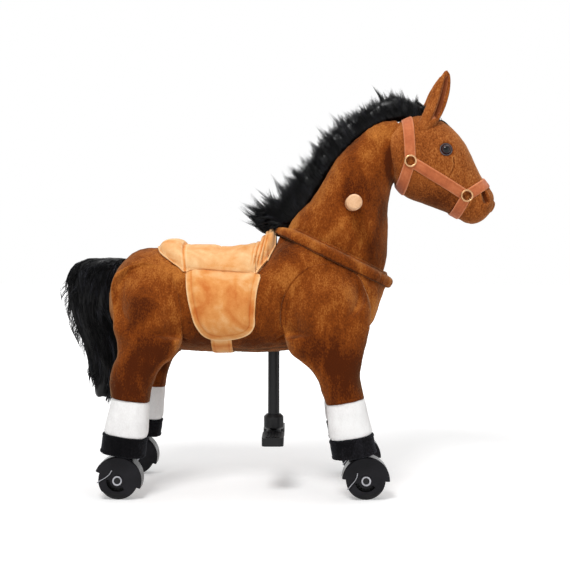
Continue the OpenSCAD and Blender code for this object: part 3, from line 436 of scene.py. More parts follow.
def ramp(tree, value, *stops):
    made = node(tree, "ShaderNodeValToRGB", {"Fac": value})
    band = made.color_ramp
    while len(band.elements) < len(stops):
        band.elements.new(0.5)
    for element, (where, colour) in zip(band.elements, stops):
        element.position = where
        element.color = colour
    return made.outputs["Color"]


def paint(tree, shader, value, *stops):
    """Base colour from a value, by stops of a place and a display colour"""
    stops = [(where, srgb(*colour)) for where, colour in stops]
    tree.links.new(ramp(tree, value, *stops), shader.inputs["Base Color"])


def uneven_gloss(tree, shader, value, rough):
    tree.links.new(maths(tree, "MULTIPLY_ADD", value, 0.2, rough - 0.1), shader.inputs["Roughness"])


def bump(tree, shader, height, strength, depth):
    made = node(tree, "ShaderNodeBump", {"Height": height, "Strength": strength, "Distance": depth})
    tree.links.new(made.outputs["Normal"], shader.inputs["Normal"])


def from_axle(tree, centre):
    """Distance in the side view from an axle or another line across"""
    co = node(tree, "ShaderNodeTexCoord").outputs["Object"]
    off = vector_maths(tree, "SUBTRACT", 0, co, (centre[0] * MM, 0, centre[1] * MM))
    return vector_maths(tree, "LENGTH", "Value", vector_maths(tree, "MULTIPLY", 0, off, (1, 0, 1)))


def pile_material(
    name, dark, mid, light, weights=(1.5, 0.4, 0.7), sheen=0.28, tint=(1, 0.66, 0.36, 1), depth=0.0022
):
    """Short combed pile: broad combed patches, strokes along the nap and fine specks, by their weights"""
    mat, tree, shader = material(
        name, Roughness=0.95, Specular_IOR_Level=0.06,
        Sheen_Weight=sheen, Sheen_Roughness=0.45, Sheen_Tint=tint,
    )
    broad = grain(tree, 8, 2, 0.45, (1, 1, 0.75), 1.0)
    strokes = grain(tree, 70, 3, 0.6, (1, 1, 0.34), 0.6)
    fine = grain(tree, 420, 2, 0.6, (1, 1, 0.6))
    value = toned(tree, blended(tree, 0.47, *zip((broad, strokes, fine), weights)))
    paint(tree, shader, value, (0.18, dark), (0.5, mid), (0.86, light))
    bump(tree, shader, blended(tree, 0.5, (strokes, 0.6), (fine, 0.8)), 0.7, depth)
    return mat


def hair_material(name):
    mat, tree, shader = material(name, Roughness=0.3, Specular_IOR_Level=0.22)
    value = toned(tree, grain(tree, 90, 2, 0.6, (1, 1, 0.3)))
    paint(tree, shader, value, (0.3, (1, 1, 2)), (0.6, (5, 5, 6)), (0.9, (48, 49, 56)))
    return mat


def suede_material(name):
    mat, tree, shader = material(
        name, Roughness=0.9, Specular_IOR_Level=0.15,
        Sheen_Weight=0.15, Sheen_Roughness=0.5, Sheen_Tint=(1, 0.85, 0.65, 1),
    )
    broad = grain(tree, 17, 3, 0.55, twist=0.8)
    cloud = grain(tree, 48, 3, 0.6)
    fine = grain(tree, 520, 2, 0.6)
    value = toned(tree, blended(tree, 0.52, (broad, 1.2), (cloud, 0.6), (fine, 0.22)))
    paint(tree, shader, value, (0.1, (198, 106, 42)), (0.45, (220, 148, 80)), (0.9, (238, 196, 144)))
    bump(tree, shader, blended(tree, 0.5, (cloud, 0.4), (fine, 0.8)), 0.35, 0.0012)
    return mat


def web_material(name, rib=1.6, warp=1.9):
    """Woven web of ribs across the strap, with paler turned edges"""
    mat, tree, shader = material(
        name, Roughness=0.78, Specular_IOR_Level=0.2, Sheen_Weight=0.2, Sheen_Roughness=0.5
    )
    waves = []
    for run, pitch in (("along", rib), ("across", warp)):
        turn = maths(tree, "MULTIPLY", attribute(tree, run), 2 * math.pi / pitch)
        waves.append(maths(tree, "SINE", turn, 0.0))
    weave = maths(tree, "MULTIPLY", *waves)
    fine = grain(tree, 160, 3, 0.6)
    cloud = grain(tree, 26, 2, 0.5)
    value = blended(tree, 0.5, (fine, 0.4), (cloud, 0.5))
    value = toned(tree, maths(tree, "MULTIPLY_ADD", weave, 0.07, value))
    paint(tree, shader, value, (0.15, (150, 72, 38)), (0.5, (193, 106, 62)), (0.9, (226, 148, 100)))
    bump(tree, shader, maths(tree, "MULTIPLY_ADD", weave, 0.5, fine), 0.4, 0.0008)
    return mat


def plastic_material(name, colour, worn, rough, gloss_from=None, centre=(0, 0), level=0.26):
    """Moulded plastic with a fine grain; beyond a radius about an axle it is polished"""
    mat, tree, shader = material(name, Specular_IOR_Level=level)
    fine = grain(tree, 700, 2, 0.5)
    cloud = grain(tree, 22, 3, 0.6)
    paint(tree, shader, blended(tree, 0.5, (cloud, 0.8), (fine, 0.35)), (0.2, colour), (0.85, worn))
    dull = maths(tree, "MULTIPLY_ADD", cloud, 0.2, rough - 0.1)
    if gloss_from is not None:
        ends = {1: gloss_from * MM, 2: (gloss_from + 0.8) * MM, 3: 1.0, 4: 0.5}
        polish = node(tree, "ShaderNodeMapRange", {"Value": from_axle(tree, centre), **ends}).outputs[0]
        dull = maths(tree, "MULTIPLY", dull, polish)
    tree.links.new(dull, shader.inputs["Roughness"])
    bump(tree, shader, fine, 0.12, 0.0004)
    return mat


def metal_material(name, colour, worn, rough):
    mat, tree, shader = material(name, Metallic=1.0)
    fine = grain(tree, 260, 3, 0.6)
    cloud = grain(tree, 40, 3, 0.6)
    paint(tree, shader, blended(tree, 0.5, (fine, 0.5), (cloud, 0.6)), (0.2, worn), (0.7, colour))
    uneven_gloss(tree, shader, cloud, rough)
    bump(tree, shader, fine, 0.08, 0.0003)
    return mat


def wood_material(name):
    """Pale turned dowel: grain lines along the peg, rings on its ends, clear varnish"""
    mat, tree, shader = material(name, Coat_Weight=0.25, Coat_Roughness=0.25)
    lines = grain(tree, 55, 5, 0.65, (1, 0.06, 1), 0.5)
    pores = grain(tree, 420, 2, 0.5, (1, 0.05, 1))
    value = blended(tree, 0.5, (lines, 0.9), (pores, 0.4))
    paint(tree, shader, value, (0.15, (196, 140, 96)), (0.5, (226, 178, 134)), (0.9, (241, 205, 166)))
    uneven_gloss(tree, shader, lines, 0.52)
    bump(tree, shader, pores, 0.1, 0.0004)
    return mat


def eye_material(name, centre, radius=12):
    """Dark brown glass eye with a black pupil, by distance from the eye's middle line"""
    mat, tree, shader = material(name, Roughness=0.05, IOR=1.45, Specular_IOR_Level=0.3)
    streak = maths(tree, "MULTIPLY_ADD", grain(tree, 420, 2, 0.5), 0.16, -0.08)
    value = maths(tree, "MULTIPLY_ADD", from_axle(tree, centre), 1 / (radius * MM), streak)
    stops = ((0.38, (4, 3, 4)), (0.5, (38, 24, 26)), (0.72, (66, 42, 42)), (0.9, (10, 8, 9)))
    paint(tree, shader, value, *stops)
    return mat


BROWN = pile_material("brown_plush", (76, 30, 6), (130, 63, 17), (190, 118, 52))
FACE = pile_material(
    "face_plush", (88, 38, 10), (152, 82, 34), (202, 134, 72), (0.6, 0.25, 0.95), depth=0.0014
)
LINING = pile_material(
    "ear_lining", (112, 56, 30), (170, 102, 66), (206, 146, 106), (0.4, 0.5, 0.5), depth=0.0012
)
WHITE = pile_material(
    "white_plush", (226, 223, 222), (248, 247, 246), (254, 254, 254), (0.35, 0.25, 0.3),
    0.1, (1, 1, 1, 1), 0.0008,
)
BLACK_CLOTH = pile_material(
    "black_fleece", (5, 5, 6), (15, 14, 16), (38, 37, 41), (0.6, 0.6, 0.7), 0.08, (0.8, 0.85, 1, 1), 0.002
)
HAIR = hair_material("black_hair")
SUEDE = suede_material("tan_suede")
WEB = web_material("halter_web")
WOOD = wood_material("pale_wood")
PAINT = plastic_material("black_paint", (10, 10, 11), (26, 26, 28), 0.4)
PLASTIC = plastic_material("black_plastic", (10, 10, 11), (26, 26, 28), 0.48)
RUBBER = plastic_material("tyre_rubber", (16, 16, 17), (36, 36, 38), 0.72)
STEEL_PAINT = plastic_material("frame_paint", (58, 58, 62), (92, 92, 97), 0.5)
STEEL = metal_material("bright_steel", (188, 188, 193), (120, 120, 126), 0.28)
# The eye rim is dark plastic mottled to a pale grey-lilac that stands in for light caught on its rim:
# painted reflection
EYE_RIM = plastic_material("eye_rim", (36, 31, 34), (112, 104, 110), 0.4)
GOLD = metal_material("pale_gold", (214, 172, 128), (150, 104, 66), 0.28)

# The CAD's named sizes
TRACK, PIVOT_H, AXLE_H, FORK_OFFSET = 108, 350, 37.5, 13
FRONT_AXLE, REAR_AXLE = 163.0, -304.0
FRONT_LEAN, REAR_LEAN = math.radians(10), math.radians(8.5)
FORK_WAY = np.array([math.cos(FRONT_LEAN), math.sin(FRONT_LEAN)])
FRONT_FOOT = np.array([FRONT_AXLE, AXLE_H]) - FORK_OFFSET * FORK_WAY
REAR_FOOT = np.array([REAR_AXLE, AXLE_H])
FRONT_LEN = (PIVOT_H - FRONT_FOOT[1]) / math.cos(FRONT_LEAN)
REAR_LEN = (PIVOT_H - AXLE_H) / math.cos(REAR_LEAN)
FRONT_PIVOT = np.array([FRONT_FOOT[0] - FRONT_LEN * math.sin(FRONT_LEAN), PIVOT_H])
REAR_PIVOT = np.array([REAR_FOOT[0] + REAR_LEN * math.sin(REAR_LEAN), PIVOT_H])
LEG_W, LEG_T, LEG_IN, LEG_TOP = 84, 72, 84.5, 0.815
HOOF_Z, HOOF_H, SOCK_H, LAY = 47, 37, 68, 0.3
SOCK_Z = HOOF_Z + HOOF_H + LAY
LEG_Z = SOCK_Z + SOCK_H + LAY
NECK_LEAN = math.radians(26)
NECK_COS, NECK_SIN = math.cos(NECK_LEAN), math.sin(NECK_LEAN)
NECK_UP = np.array([NECK_SIN, NECK_COS])
COLLAR = np.array([100.0, 450.0])
STEER_BACK = 13
STEER = COLLAR + STEER_BACK * np.array([-NECK_COS, NECK_SIN])
NECK_RUN, NECK_RISE, NECK_W = 120, 285, 168
CUFF_A, CUFF_B, CUFF_D = 119, 87, 22
HANDLE = STEER + 117 * NECK_UP
HEAD_X, HEAD_Z, HEAD_LEN, HEAD_H, HEAD_W = 222, 522, 202, 216, 120
BODY_X, BODY_LEN, BELLY_H, BODY_H, BODY_W = -338, 544, 266, 240, 228
BODY_ROUND, LEG_ROUND, PAD_ROUND, HEAD_ROUND = 0.86, 0.84, 0.6, 0.92
SADDLE_X, SADDLE_LEN, SADDLE_W, SEAM_H, SADDLE_RISE, FLAP_DROP = -242, 232, 190, 432, 90, 134


def head_at(along, up):
    return np.array([HEAD_X + along * HEAD_LEN, HEAD_Z + up * HEAD_H])


def neck_at(along, up):
    return np.array([COLLAR[0] + along * NECK_RUN, COLLAR[1] + up * NECK_RISE])


def collar_height(x):
    return STEER[1] - (x - STEER[0]) * math.tan(NECK_LEAN)


# Camera at the photograph's height and angle
camera = bpy.data.cameras.new("camera")
camera.lens, camera.sensor_width = 64.74, 36
camera.clip_end = 50
camera.shift_x, camera.shift_y = -0.0263, -0.0717
view = bpy.data.objects.new("camera", camera)
view.location = (0.038, -2.05, 0.482)
view.rotation_euler = (math.radians(90), math.radians(-0.1), 0)
SCENE.collection.objects.link(view)
SCENE.camera = view

# Body: place along it, top, bottom and width of each section
BODY_SHARES = (
    (0.000, 0.54, 0.36, 0.25), (0.015, 0.635, 0.25, 0.51), (0.048, 0.755, 0.17, 0.72),
    (0.097, 0.845, 0.11, 0.85), (0.171, 0.865, 0.06, 0.93), (0.263, 0.83, 0.025, 0.97),
    (0.364, 0.765, 0.01, 0.99), (0.474, 0.745, 0.012, 1.00), (0.566, 0.82, 0.01, 1.00),
    (0.640, 0.97, 0.02, 0.99), (0.732, 1.00, 0.05, 0.97), (0.824, 0.96, 0.10, 0.90),
    (0.897, 0.87, 0.17, 0.80), (0.952, 0.76, 0.24, 0.66), (0.982, 0.64, 0.42, 0.46),
    (1.000, 0.57, 0.53, 0.20),
)
body_rows = upright_rows(BODY_SHARES, (BODY_X, BODY_LEN), (BELLY_H, BODY_H), BODY_W, BODY_ROUND, 220)
BODY_POWER = 2 / BODY_ROUND


def body_section(x):
    """Top, bottom and half width of the body at x"""
    return (np.interp(x, body_rows[:, 0], body_rows[:, k]) for k in (1, 3, 4))


def body_side(x, z):
    """How far the body's skin stands out from the middle at a point of the side view"""
    top, low, wide = body_section(x)
    u = np.clip(np.abs(z - (top + low) / 2) / ((top - low) / 2), 0, 1)
    return wide * (1 - u**BODY_POWER) ** (1 / BODY_POWER) * (x > body_rows[0, 0]) * (x < body_rows[-1, 0])


def body_skin(x, y, z):
    """The body's middle, the way out to a point of its section, and how far its skin and that point lie"""
    top, low, wide = body_section(x)
    mid, half = (top + low) / 2, (top - low) / 2
    far = np.hypot(y, z - mid)
    dy, dz = y / far, (z - mid) / far
    reach = (np.abs(dy / wide) ** BODY_POWER + np.abs(dz / half) ** BODY_POWER) ** (-1 / BODY_POWER)
    return mid, dy, dz, reach, far


# Legs: share of the height, back, front, middle and half thickness
FRONT_LEG = (
    (0.00, -0.43, 0.45, 0.00, 0.48), (0.10, -0.49, 0.43, 0.01, 0.47), (0.17, -0.52, 0.44, 0.03, 0.45),
    (0.23, -0.585, 0.50, 0.05, 0.42), (0.285, -0.685, 0.56, 0.07, 0.39), (0.34, -0.85, 0.64, -0.06, 0.50),
    (0.40, -1.02, 0.73, -0.15, 0.59), (0.52, -1.10, 0.87, -0.25, 0.66), (0.64, -1.13, 0.95, -0.28, 0.67),
    (0.76, -1.05, 0.91, -0.29, 0.62), (0.88, -0.83, 0.78, -0.30, 0.50), (0.95, -0.60, 0.57, -0.32, 0.34),
    (1.00, -0.30, 0.30, -0.33, 0.14),
)
REAR_LEG = (
    (0.00, -0.46, 0.43, 0.00, 0.48), (0.10, -0.53, 0.43, 0.01, 0.47), (0.16, -0.53, 0.46, 0.03, 0.45),
    (0.22, -0.51, 0.50, 0.05, 0.42), (0.28, -0.44, 0.595, 0.07, 0.39), (0.34, -0.45, 0.76, -0.06, 0.50),
    (0.40, -0.51, 0.86, -0.15, 0.59), (0.47, -0.60, 0.92, -0.22, 0.65), (0.58, -0.70, 0.88, -0.27, 0.67),
    (0.70, -0.80, 0.81, -0.29, 0.65), (0.80, -0.86, 0.71, -0.30, 0.58), (0.89, -0.79, 0.54, -0.31, 0.46),
    (0.96, -0.57, 0.30, -0.32, 0.31), (1.00, -0.30, 0.06, -0.33, 0.12),
)
# The share of a leg's height where its pad starts, and the pad's lowest point below the pivot
PAD_FROM, PAD_DROP = 0.42, 70


class Leg:
    """One pair of legs: places in its leaning frame, and its pad's outline about the pivot"""

    def __init__(self, end, shares, foot, lean, reach, pivot):
        self.end, self.foot, self.pivot = end, foot, pivot
        self.body = end + "_legs"
        self.turn = np.array([[math.cos(lean), math.sin(lean)], [-math.sin(lean), math.cos(lean)]])
        height = reach * LEG_TOP
        rows = []
        for s, back, front, middle, thick in shares:
            z = LEG_Z + s * height
            power = LEG_ROUND if s < PAD_FROM else PAD_ROUND
            rows.append((back * LEG_W, z, front * LEG_W, z, thick * LEG_T, middle * LEG_T, power))
        self.rows = smooth_rows(rows, 120)
        self.cut = LEG_Z + height / 4
        edges = np.concatenate([self.place(self.rows[:, 0:2]), self.place(self.rows[::-1, 2:4])])
        angle, far = self.polar(*edges.T)
        upper = edges[:, 1] - pivot[1] > -PAD_DROP
        order = np.argsort(angle[upper])
        self.angle, self.far = angle[upper][order], far[upper][order]
        grid = np.arange(360)
        swept = np.interp(grid, self.angle, self.far * 0.84, period=360)
        lows = angle[~upper]
        swept[(grid > lows.min()) & (grid < lows.max())] = 260
        swept = np.max([np.roll(swept, k) for k in range(-12, 13, 2)], axis=0)
        self.swept = np.mean([np.roll(swept, k) for k in range(-4, 5)], axis=0) + 2

    def place(self, xz):
        return self.foot + np.asarray(xz) @ self.turn.T

    def polar(self, x, z):
        """Angle and distance about the pivot"""
        x, z = x - self.pivot[0], z - self.pivot[1]
        return np.degrees(np.arctan2(z, x)) % 360, np.hypot(x, z)

    def inside(self, x, z):
        """1 where the pad lies over the body, 0 outside its sweep"""
        angle, far = self.polar(x, z)
        return 1 - step(-2.5, 1.5, far - np.interp(angle, np.arange(360), self.swept, period=360))

    def share(self, x, z):
        """Distance from the pivot as a share of the pad's outline"""
        angle, far = self.polar(x, z)
        return far / np.interp(angle, self.angle, self.far, period=360)


LEGS = (
    Leg("front", FRONT_LEG, FRONT_FOOT, -FRONT_LEAN, FRONT_LEN, FRONT_PIVOT),
    Leg("rear", REAR_LEG, REAR_FOOT, REAR_LEAN, REAR_LEN, REAR_PIVOT),
)

# Tone patches on the haunch, thigh, belly, shoulder, withers, neck, crest, neck's foot, chest and jaw:
# x, z, half length, half height and tone; the thigh, belly and jaw patches are painted shade, the rest pile
# that lies darker or lighter
BRUSHED_AND_SHADED = np.array((
    (-242, 386, 66, 36, -0.32), (-245, 256, 46, 38, -0.36), (-90, 285, 120, 26, -0.28),
    (150, 334, 66, 40, 0.22), (6, 425, 32, 32, 0.4), (140, 592, 66, 40, -0.28), (205, 700, 30, 26, 0.26),
    (16, 517, 22, 22, 0.3), (173, 470, 30, 30, -0.12), (312, 562, 44, 28, -0.32),
))


def brushed_and_shaded(p):
    """Tone of the coat from its pile patches, with painted shade on the thigh, belly and jaw"""
    x, z, long, tall, amount = BRUSHED_AND_SHADED.T
    far = np.hypot((p[:, :1] - x) / long, (p[:, 2:] - z) / tall)
    return (amount * np.exp(-(far**2))).sum(1)


# Seed, pile and stuffing lumps of the coat
COAT = (3, 0.6, 1.5)
mesh = skin("torso", domed(sections(body_rows, 260), 5, 3))
belly_seam = smooth_rows([(-90, 279), (-40, 278), (20, 282), (60, 290)], 30)
p, tone = nap(mesh, *COAT, [(belly_seam, 2.0, 0.8)])
p = points_of(mesh)
for leg in LEGS:
    into = leg.inside(p[:, 0], p[:, 2])
    held = np.minimum(np.abs(p[:, 1]), LEG_IN - 1)
    p[:, 1] = np.sign(p[:, 1]) * (np.abs(p[:, 1]) * (1 - into) + held * into)
# Under the collar the top is flat, with a rounded edge
below = (collar_height(p[:, 0]) - p[:, 2]) * NECK_COS
ahead = (p[:, 0] - STEER[0]) * NECK_COS - (p[:, 2] - STEER[1]) * NECK_SIN - STEER_BACK
spread = np.hypot(ahead / (CUFF_A + 9), p[:, 1] / (CUFF_B + 9))
near = (1 - step(-1, 14, below)) * (np.abs(ahead) < 220)
p[:, 1] *= 1 - near * (1 - 1 / np.maximum(spread, 1))
# The withers rise to the collar behind the pommel
withers = step(-9, 1, p[:, 0]) * (1 - step(10, 24, p[:, 0]))
withers = withers * (1 - step(30, 55, np.abs(p[:, 1]))) * step(470, 480, p[:, 2])
p[:, 2] += withers * np.maximum(collar_height(p[:, 0]) - 0.6 - p[:, 2], 0)
p[:, 2] = np.minimum(p[:, 2], collar_height(p[:, 0]) - 0.15)
set_points(mesh, p)
# The coat's patches add painted shade along the belly and low on the thigh
set_value(mesh, "tone", tone + (0.06 * step(0, 160, p[:, 0]) - 0.05 + brushed_and_shaded(p)))
piece("body_plush", mesh, BROWN, "chassis", "brown_plush", "torso_plush", fill=0.9)

# Socks and hoof cuffs: share of the height, half length and half thickness
SOCK = np.array((
    (0.00, 0.455, 0.455), (0.03, 0.475, 0.47), (0.10, 0.49, 0.48), (0.30, 0.48, 0.48), (0.50, 0.47, 0.48),
    (0.75, 0.45, 0.47), (0.95, 0.435, 0.46), (1.00, 0.425, 0.455),
))
HOOF = np.array((
    (0.00, 0.455, 0.45), (0.02, 0.49, 0.48), (0.07, 0.512, 0.50), (0.15, 0.512, 0.50),
    (0.19, 0.498, 0.488), (0.24, 0.504, 0.494), (0.50, 0.506, 0.496), (0.78, 0.505, 0.495),
    (0.83, 0.499, 0.489), (0.87, 0.513, 0.502), (0.95, 0.512, 0.501), (0.985, 0.492, 0.482),
    (1.00, 0.465, 0.455),
))
# How far the outer and inner face of a pad's rim lie over the body's skin
RIM_OVER, RIM_UNDER = 1.3, 0.4
# A leg's cover is sewn to the body above its pivot and swings free below it
LEG_SEWN, LEG_LOOSE = 35, 85


def leg_mesh(leg, side, around=150, cap_rings=5):
    """A leg whose pad comes down to the body's skin at its rim, where its thin edge lies over the skin"""
    front = leg.end == "front"
    rings = sections(leg.rows, around)
    outer = np.zeros(rings.shape[:2], bool)
    outer[:, : around // 2 + 1] = True
    edge = (rings[:, :, 0] - leg.rows[:, None, 2]) / (leg.rows[:, None, 0] - leg.rows[:, None, 2])
    flat = step(leg.cut - 6, leg.cut + 6, rings[:, :, 2])
    x, z = np.moveaxis(leg.place(rings[:, :, [0, 2]]), -1, 0)
    y = rings[:, :, 1] + TRACK
    skin_y = body_side(x, z)
    rim_y = skin_y + RIM_OVER
    share = leg.share(x, z)
    rise = z - PIVOT_H
    upper = step(-75, -30, rise) * step(84, 91, skin_y)
    near_rim = step(0.35, 0.95, share) * upper
    if not front:
        high = step(-70, 70, rise) * step(60, 91, skin_y)
        bulge = (35 - 17 * step(-40, 90, rise)) * np.clip(1 - share**2, 0, 1) ** 2
        y = np.where(outer, y + (np.maximum(rim_y + bulge, LEG_IN + 2.5) - y) * high, y)
        near_rim = near_rim * (1 - high)
    y = np.where(outer, y + (rim_y - y) * near_rim, y)
    y = np.where(y < LEG_IN, y + (LEG_IN - y) * flat, y)
    lap = step(0.86, 0.9, share) * upper
    y = np.where(outer, np.maximum(y, rim_y * lap), y + (skin_y + RIM_UNDER - y) * lap)
    mesh = skin(leg.end + "_leg", domed(np.stack([x, y * side, z], 2), 0.5, 1.0))
    rows = slice(cap_rings * around, cap_rings * around + edge.size)
    calm = np.ones(len(mesh.vertices))
    calm[rows] = 1 - 0.75 * lap.reshape(-1)
    p, tone = nap(mesh, *COAT, calm=calm)
    free = edge if front else 1 - edge
    strip = step(0.86, 0.97, free) * step(205, 240, z) * (1 - step(300, 345, z))
    seam = 0.22 * front * step(0.955, 0.99, share) * upper
    tone[rows] += (0.3 * strip - seam).reshape(-1)
    # Darker towards the bottom of the leg below 330 mm: painted shade from the light above; the patches add
    # painted shade on the thigh
    tone += brushed_and_shaded(p) - 0.13 * (1 - step(190, 330, p[:, 2])) - 0.05
    set_value(mesh, "tone", tone)
    return mesh


def cuff_mesh(leg, side, shares, low, high, seed, pile, folds):
    """A sock or hoof cuff with soft folds round the leg"""
    s = np.linspace(0, 1, 64)
    wide = np.interp(s, shares[:, 0], shares[:, 1]) * LEG_W
    thick = np.interp(s, shares[:, 0], shares[:, 2]) * LEG_T
    z = low + s * high
    rings = sections(np.stack([-wide, z, wide, z, thick, 0 * s, LEG_ROUND + 0 * s], 1), 132)
    x, z = np.moveaxis(leg.place(rings[:, :, [0, 2]]), -1, 0)
    mesh = skin(leg.end + "_cuff", domed(np.stack([x, (rings[:, :, 1] + TRACK) * side, z], 2), 0.3, 0.3, 4))
    q = points_of(mesh) * [1, 1, 3.0]
    swell(mesh, folds * fuzz(q, 60, seed + 5) + folds * 0.5 * fuzz(q, 27, seed + 6))
    nap(mesh, seed, pile, 0.4)
    return mesh


sewn = [(0, 0, (PIVOT_H + LEG_SEWN) * MM), (0, 0, (PIVOT_H - LEG_LOOSE) * MM)]
seed = 20
for leg in LEGS:
    for name, side in SIDES:
        seed += 7
        solid = f"{leg.end}_leg_plush_{name}"
        mesh = leg_mesh(leg, side)
        piece(f"{leg.end}_leg_{name}", mesh, BROWN, leg.body, "brown_plush", solid, fill=0.85, sewn=sewn)
        for cuff, shares, low, high, turn, pile, folds, finish, slot in (
            ("sock", SOCK, SOCK_Z, SOCK_H, 1, 0.3, 0.9, WHITE, "white_plush"),
            ("hoof", HOOF, HOOF_Z, HOOF_H, 2, 0.5, 0.5, BLACK_CLOTH, "black_cloth"),
        ):
            mesh = cuff_mesh(leg, side, shares, low, high, seed + turn, pile, folds)
            solid = f"{leg.end}_{cuff}_{name}"
            piece(f"{leg.end}_{cuff}_cover_{name}", mesh, finish, leg.body, slot, solid, fill=0.7)

# Neck and its rolled collar: the crest's place, the throat's place and the width
NECK_SHARES = (
    (-0.89, 0.085, 0.74, -0.24, 0.86), (-0.62, 0.30, 0.925, 0.02, 0.86), (-0.33, 0.43, 0.94, 0.20, 0.82),
    (-0.12, 0.57, 0.94, 0.37, 0.75), (0.12, 0.73, 1.02, 0.53, 0.645), (0.42, 0.86, 1.17, 0.61, 0.555),
    (0.80, 0.97, 1.35, 0.67, 0.48), (1.04, 0.98, 1.46, 0.74, 0.40),
)
neck_rows = leaning_rows(NECK_SHARES, neck_at, NECK_W, 130)


def sliced(mesh, point, normal):
    """Cuts away what lies behind a plane and closes the cut"""
    work = bmesh.new()
    work.from_mesh(mesh)
    everything = work.verts[:] + work.edges[:] + work.faces[:]
    cut = bmesh.ops.bisect_plane(
        work, geom=everything, dist=1e-6,
        plane_co=Vector(point) * MM, plane_no=Vector(normal), clear_inner=True,
    )
    bmesh.ops.edgeloop_fill(work, edges=[e for e in cut["geom_cut"] if isinstance(e, bmesh.types.BMEdge)])
    bmesh.ops.triangulate(work, faces=[f for f in work.faces if len(f.verts) > 4])
    work.to_mesh(mesh)
    work.free()
    mesh.polygons.foreach_set("use_smooth", [True] * len(mesh.polygons))
    mesh.update()


mesh = skin("neck", domed(sections(neck_rows, 200), 1, 4))
p = points_of(mesh)
dent = np.hypot(p[:, 0] - HANDLE[0], p[:, 2] - HANDLE[1])
swell(mesh, -3.5 * bell(dent, 22))
p, tone = nap(mesh, 60, 0.75, 1.5)
# Painted shade in the dent round the handle
tone -= 0.2 * bell(dent, 20)
# Painted shade along the line where the head meets the neck
head_join_shade = smooth_rows([(246, 706), (226, 684), (213, 655), (212, 622), (228, 588)], 40)
tone += 0.05 + brushed_and_shaded(p) - 0.5 * bell(line_distance(p, head_join_shade), 6)
set_value(mesh, "tone", tone)
base = STEER + NECK_UP * 0.3
sliced(mesh, (base[0], 0, base[1]), (NECK_SIN, 0, NECK_COS))
piece("neck_skin", mesh, BROWN, "neck", "brown_plush", "neck_plush", fill=0.9)

# A soft roll, fuller outside, flattened where it rests on the shoulders
CUFF_TURNS, CUFF_BEAD = 320, 48
a, b = angles(CUFF_TURNS)[:, None], angles(CUFF_BEAD)[None, :]
power = np.where(np.sin(b) < 0, 0.6, 0.95)
fold = 1.2 * np.sin(7 * a + 1.3) + 0.9 * np.sin(13 * a + 0.4) + 0.7 * np.sin(29 * a)
fuller = CUFF_D / 2 + fold + 6.0 * np.abs(np.sin(a)) ** 1.5 - 1.0
out = np.where(np.cos(b) > 0, fuller, CUFF_D / 2) * rounded(np.cos(b), power)
thin = 1 - 0.3 * step(0.75, 1.0, -np.cos(a))
up = CUFF_D / 2 * (1 + rounded(np.sin(b), power)) * thin - 0.5
up = up + 9.0 * bell(b - 2.5, 0.42) * thin
along, across = (CUFF_A + out) * np.cos(a) + STEER_BACK, (CUFF_B + out) * np.sin(a)
x, z = STEER[0] + along * NECK_COS + up * NECK_SIN, STEER[1] - along * NECK_SIN + up * NECK_COS
mesh = hoop("collar", np.stack([x, across, z], -1))
p, tone = nap(mesh, 70, 0.7, 1.1)
p = points_of(mesh)
under = (p[:, 0] - STEER[0]) * NECK_SIN + (p[:, 2] - STEER[1]) * NECK_COS
set_points(mesh, p + np.maximum(-0.5 - under, 0)[:, None] * [NECK_SIN, 0, NECK_COS])
turn = np.tile(b[0], CUFF_TURNS)
# Round the roll: lighter on its upper outer face, darker at the foot of the inner ridge and on its
# underside, painted light and shade
tone += 0.08 * bell(turn - 0.9, 0.5) - 0.14 * bell(turn - 1.9, 0.2) - 0.2 * (np.cos(turn + 1.1) > 0.85)
set_value(mesh, "tone", tone + brushed_and_shaded(p))
piece("neck_collar", mesh, BROWN, "neck", "brown_plush", "neck_cuff", fill=0.8)

# Head, from behind the cheek to the muzzle: upper place, lower place and width
HEAD_SHARES = (
    (-0.075, 0.80, -0.06, 0.60, 0.40), (-0.055, 0.84, -0.045, 0.54, 0.66),
    (0.00, 0.895, -0.01, 0.44, 0.83), (0.09, 0.95, 0.05, 0.335, 0.92), (0.22, 1.00, 0.14, 0.255, 0.97),
    (0.40, 0.99, 0.32, 0.19, 1.00), (0.575, 0.90, 0.475, 0.135, 0.98), (0.70, 0.77, 0.585, 0.09, 0.87),
    (0.80, 0.59, 0.67, 0.045, 0.76), (0.88, 0.44, 0.74, 0.01, 0.72), (0.95, 0.35, 0.82, 0.005, 0.69),
    (0.99, 0.28, 0.90, 0.045, 0.54), (1.00, 0.215, 0.965, 0.11, 0.24),
)
EYE = head_at(0.495, 0.67)
NOSTRIL = np.array([400.0, 575.0])
NOSTRIL_LEAN = math.radians(14)
head = skin("head", domed(sections(leaning_rows(HEAD_SHARES, head_at, HEAD_W, 180), 260), 4, 5))
p = points_of(head)
HEAD_TREE = BVHTree.FromPolygons([tuple(v) for v in p], [tuple(f.vertices) for f in head.polygons])
# A distance from the middle that is well outside the head
CLEAR_OF_HEAD = 300


def head_side(x, z, side):
    """The head's skin and its normal at a point of the side view"""
    spot, normal, _, _ = HEAD_TREE.ray_cast(Vector((x, side * CLEAR_OF_HEAD, z)), Vector((0, -side, 0)))
    if spot is None:
        spot, normal, _, _ = HEAD_TREE.find_nearest(Vector((x, 0, z)))
    if normal.y * side < 0:
        normal = -normal
    return np.array(spot), np.array(normal)


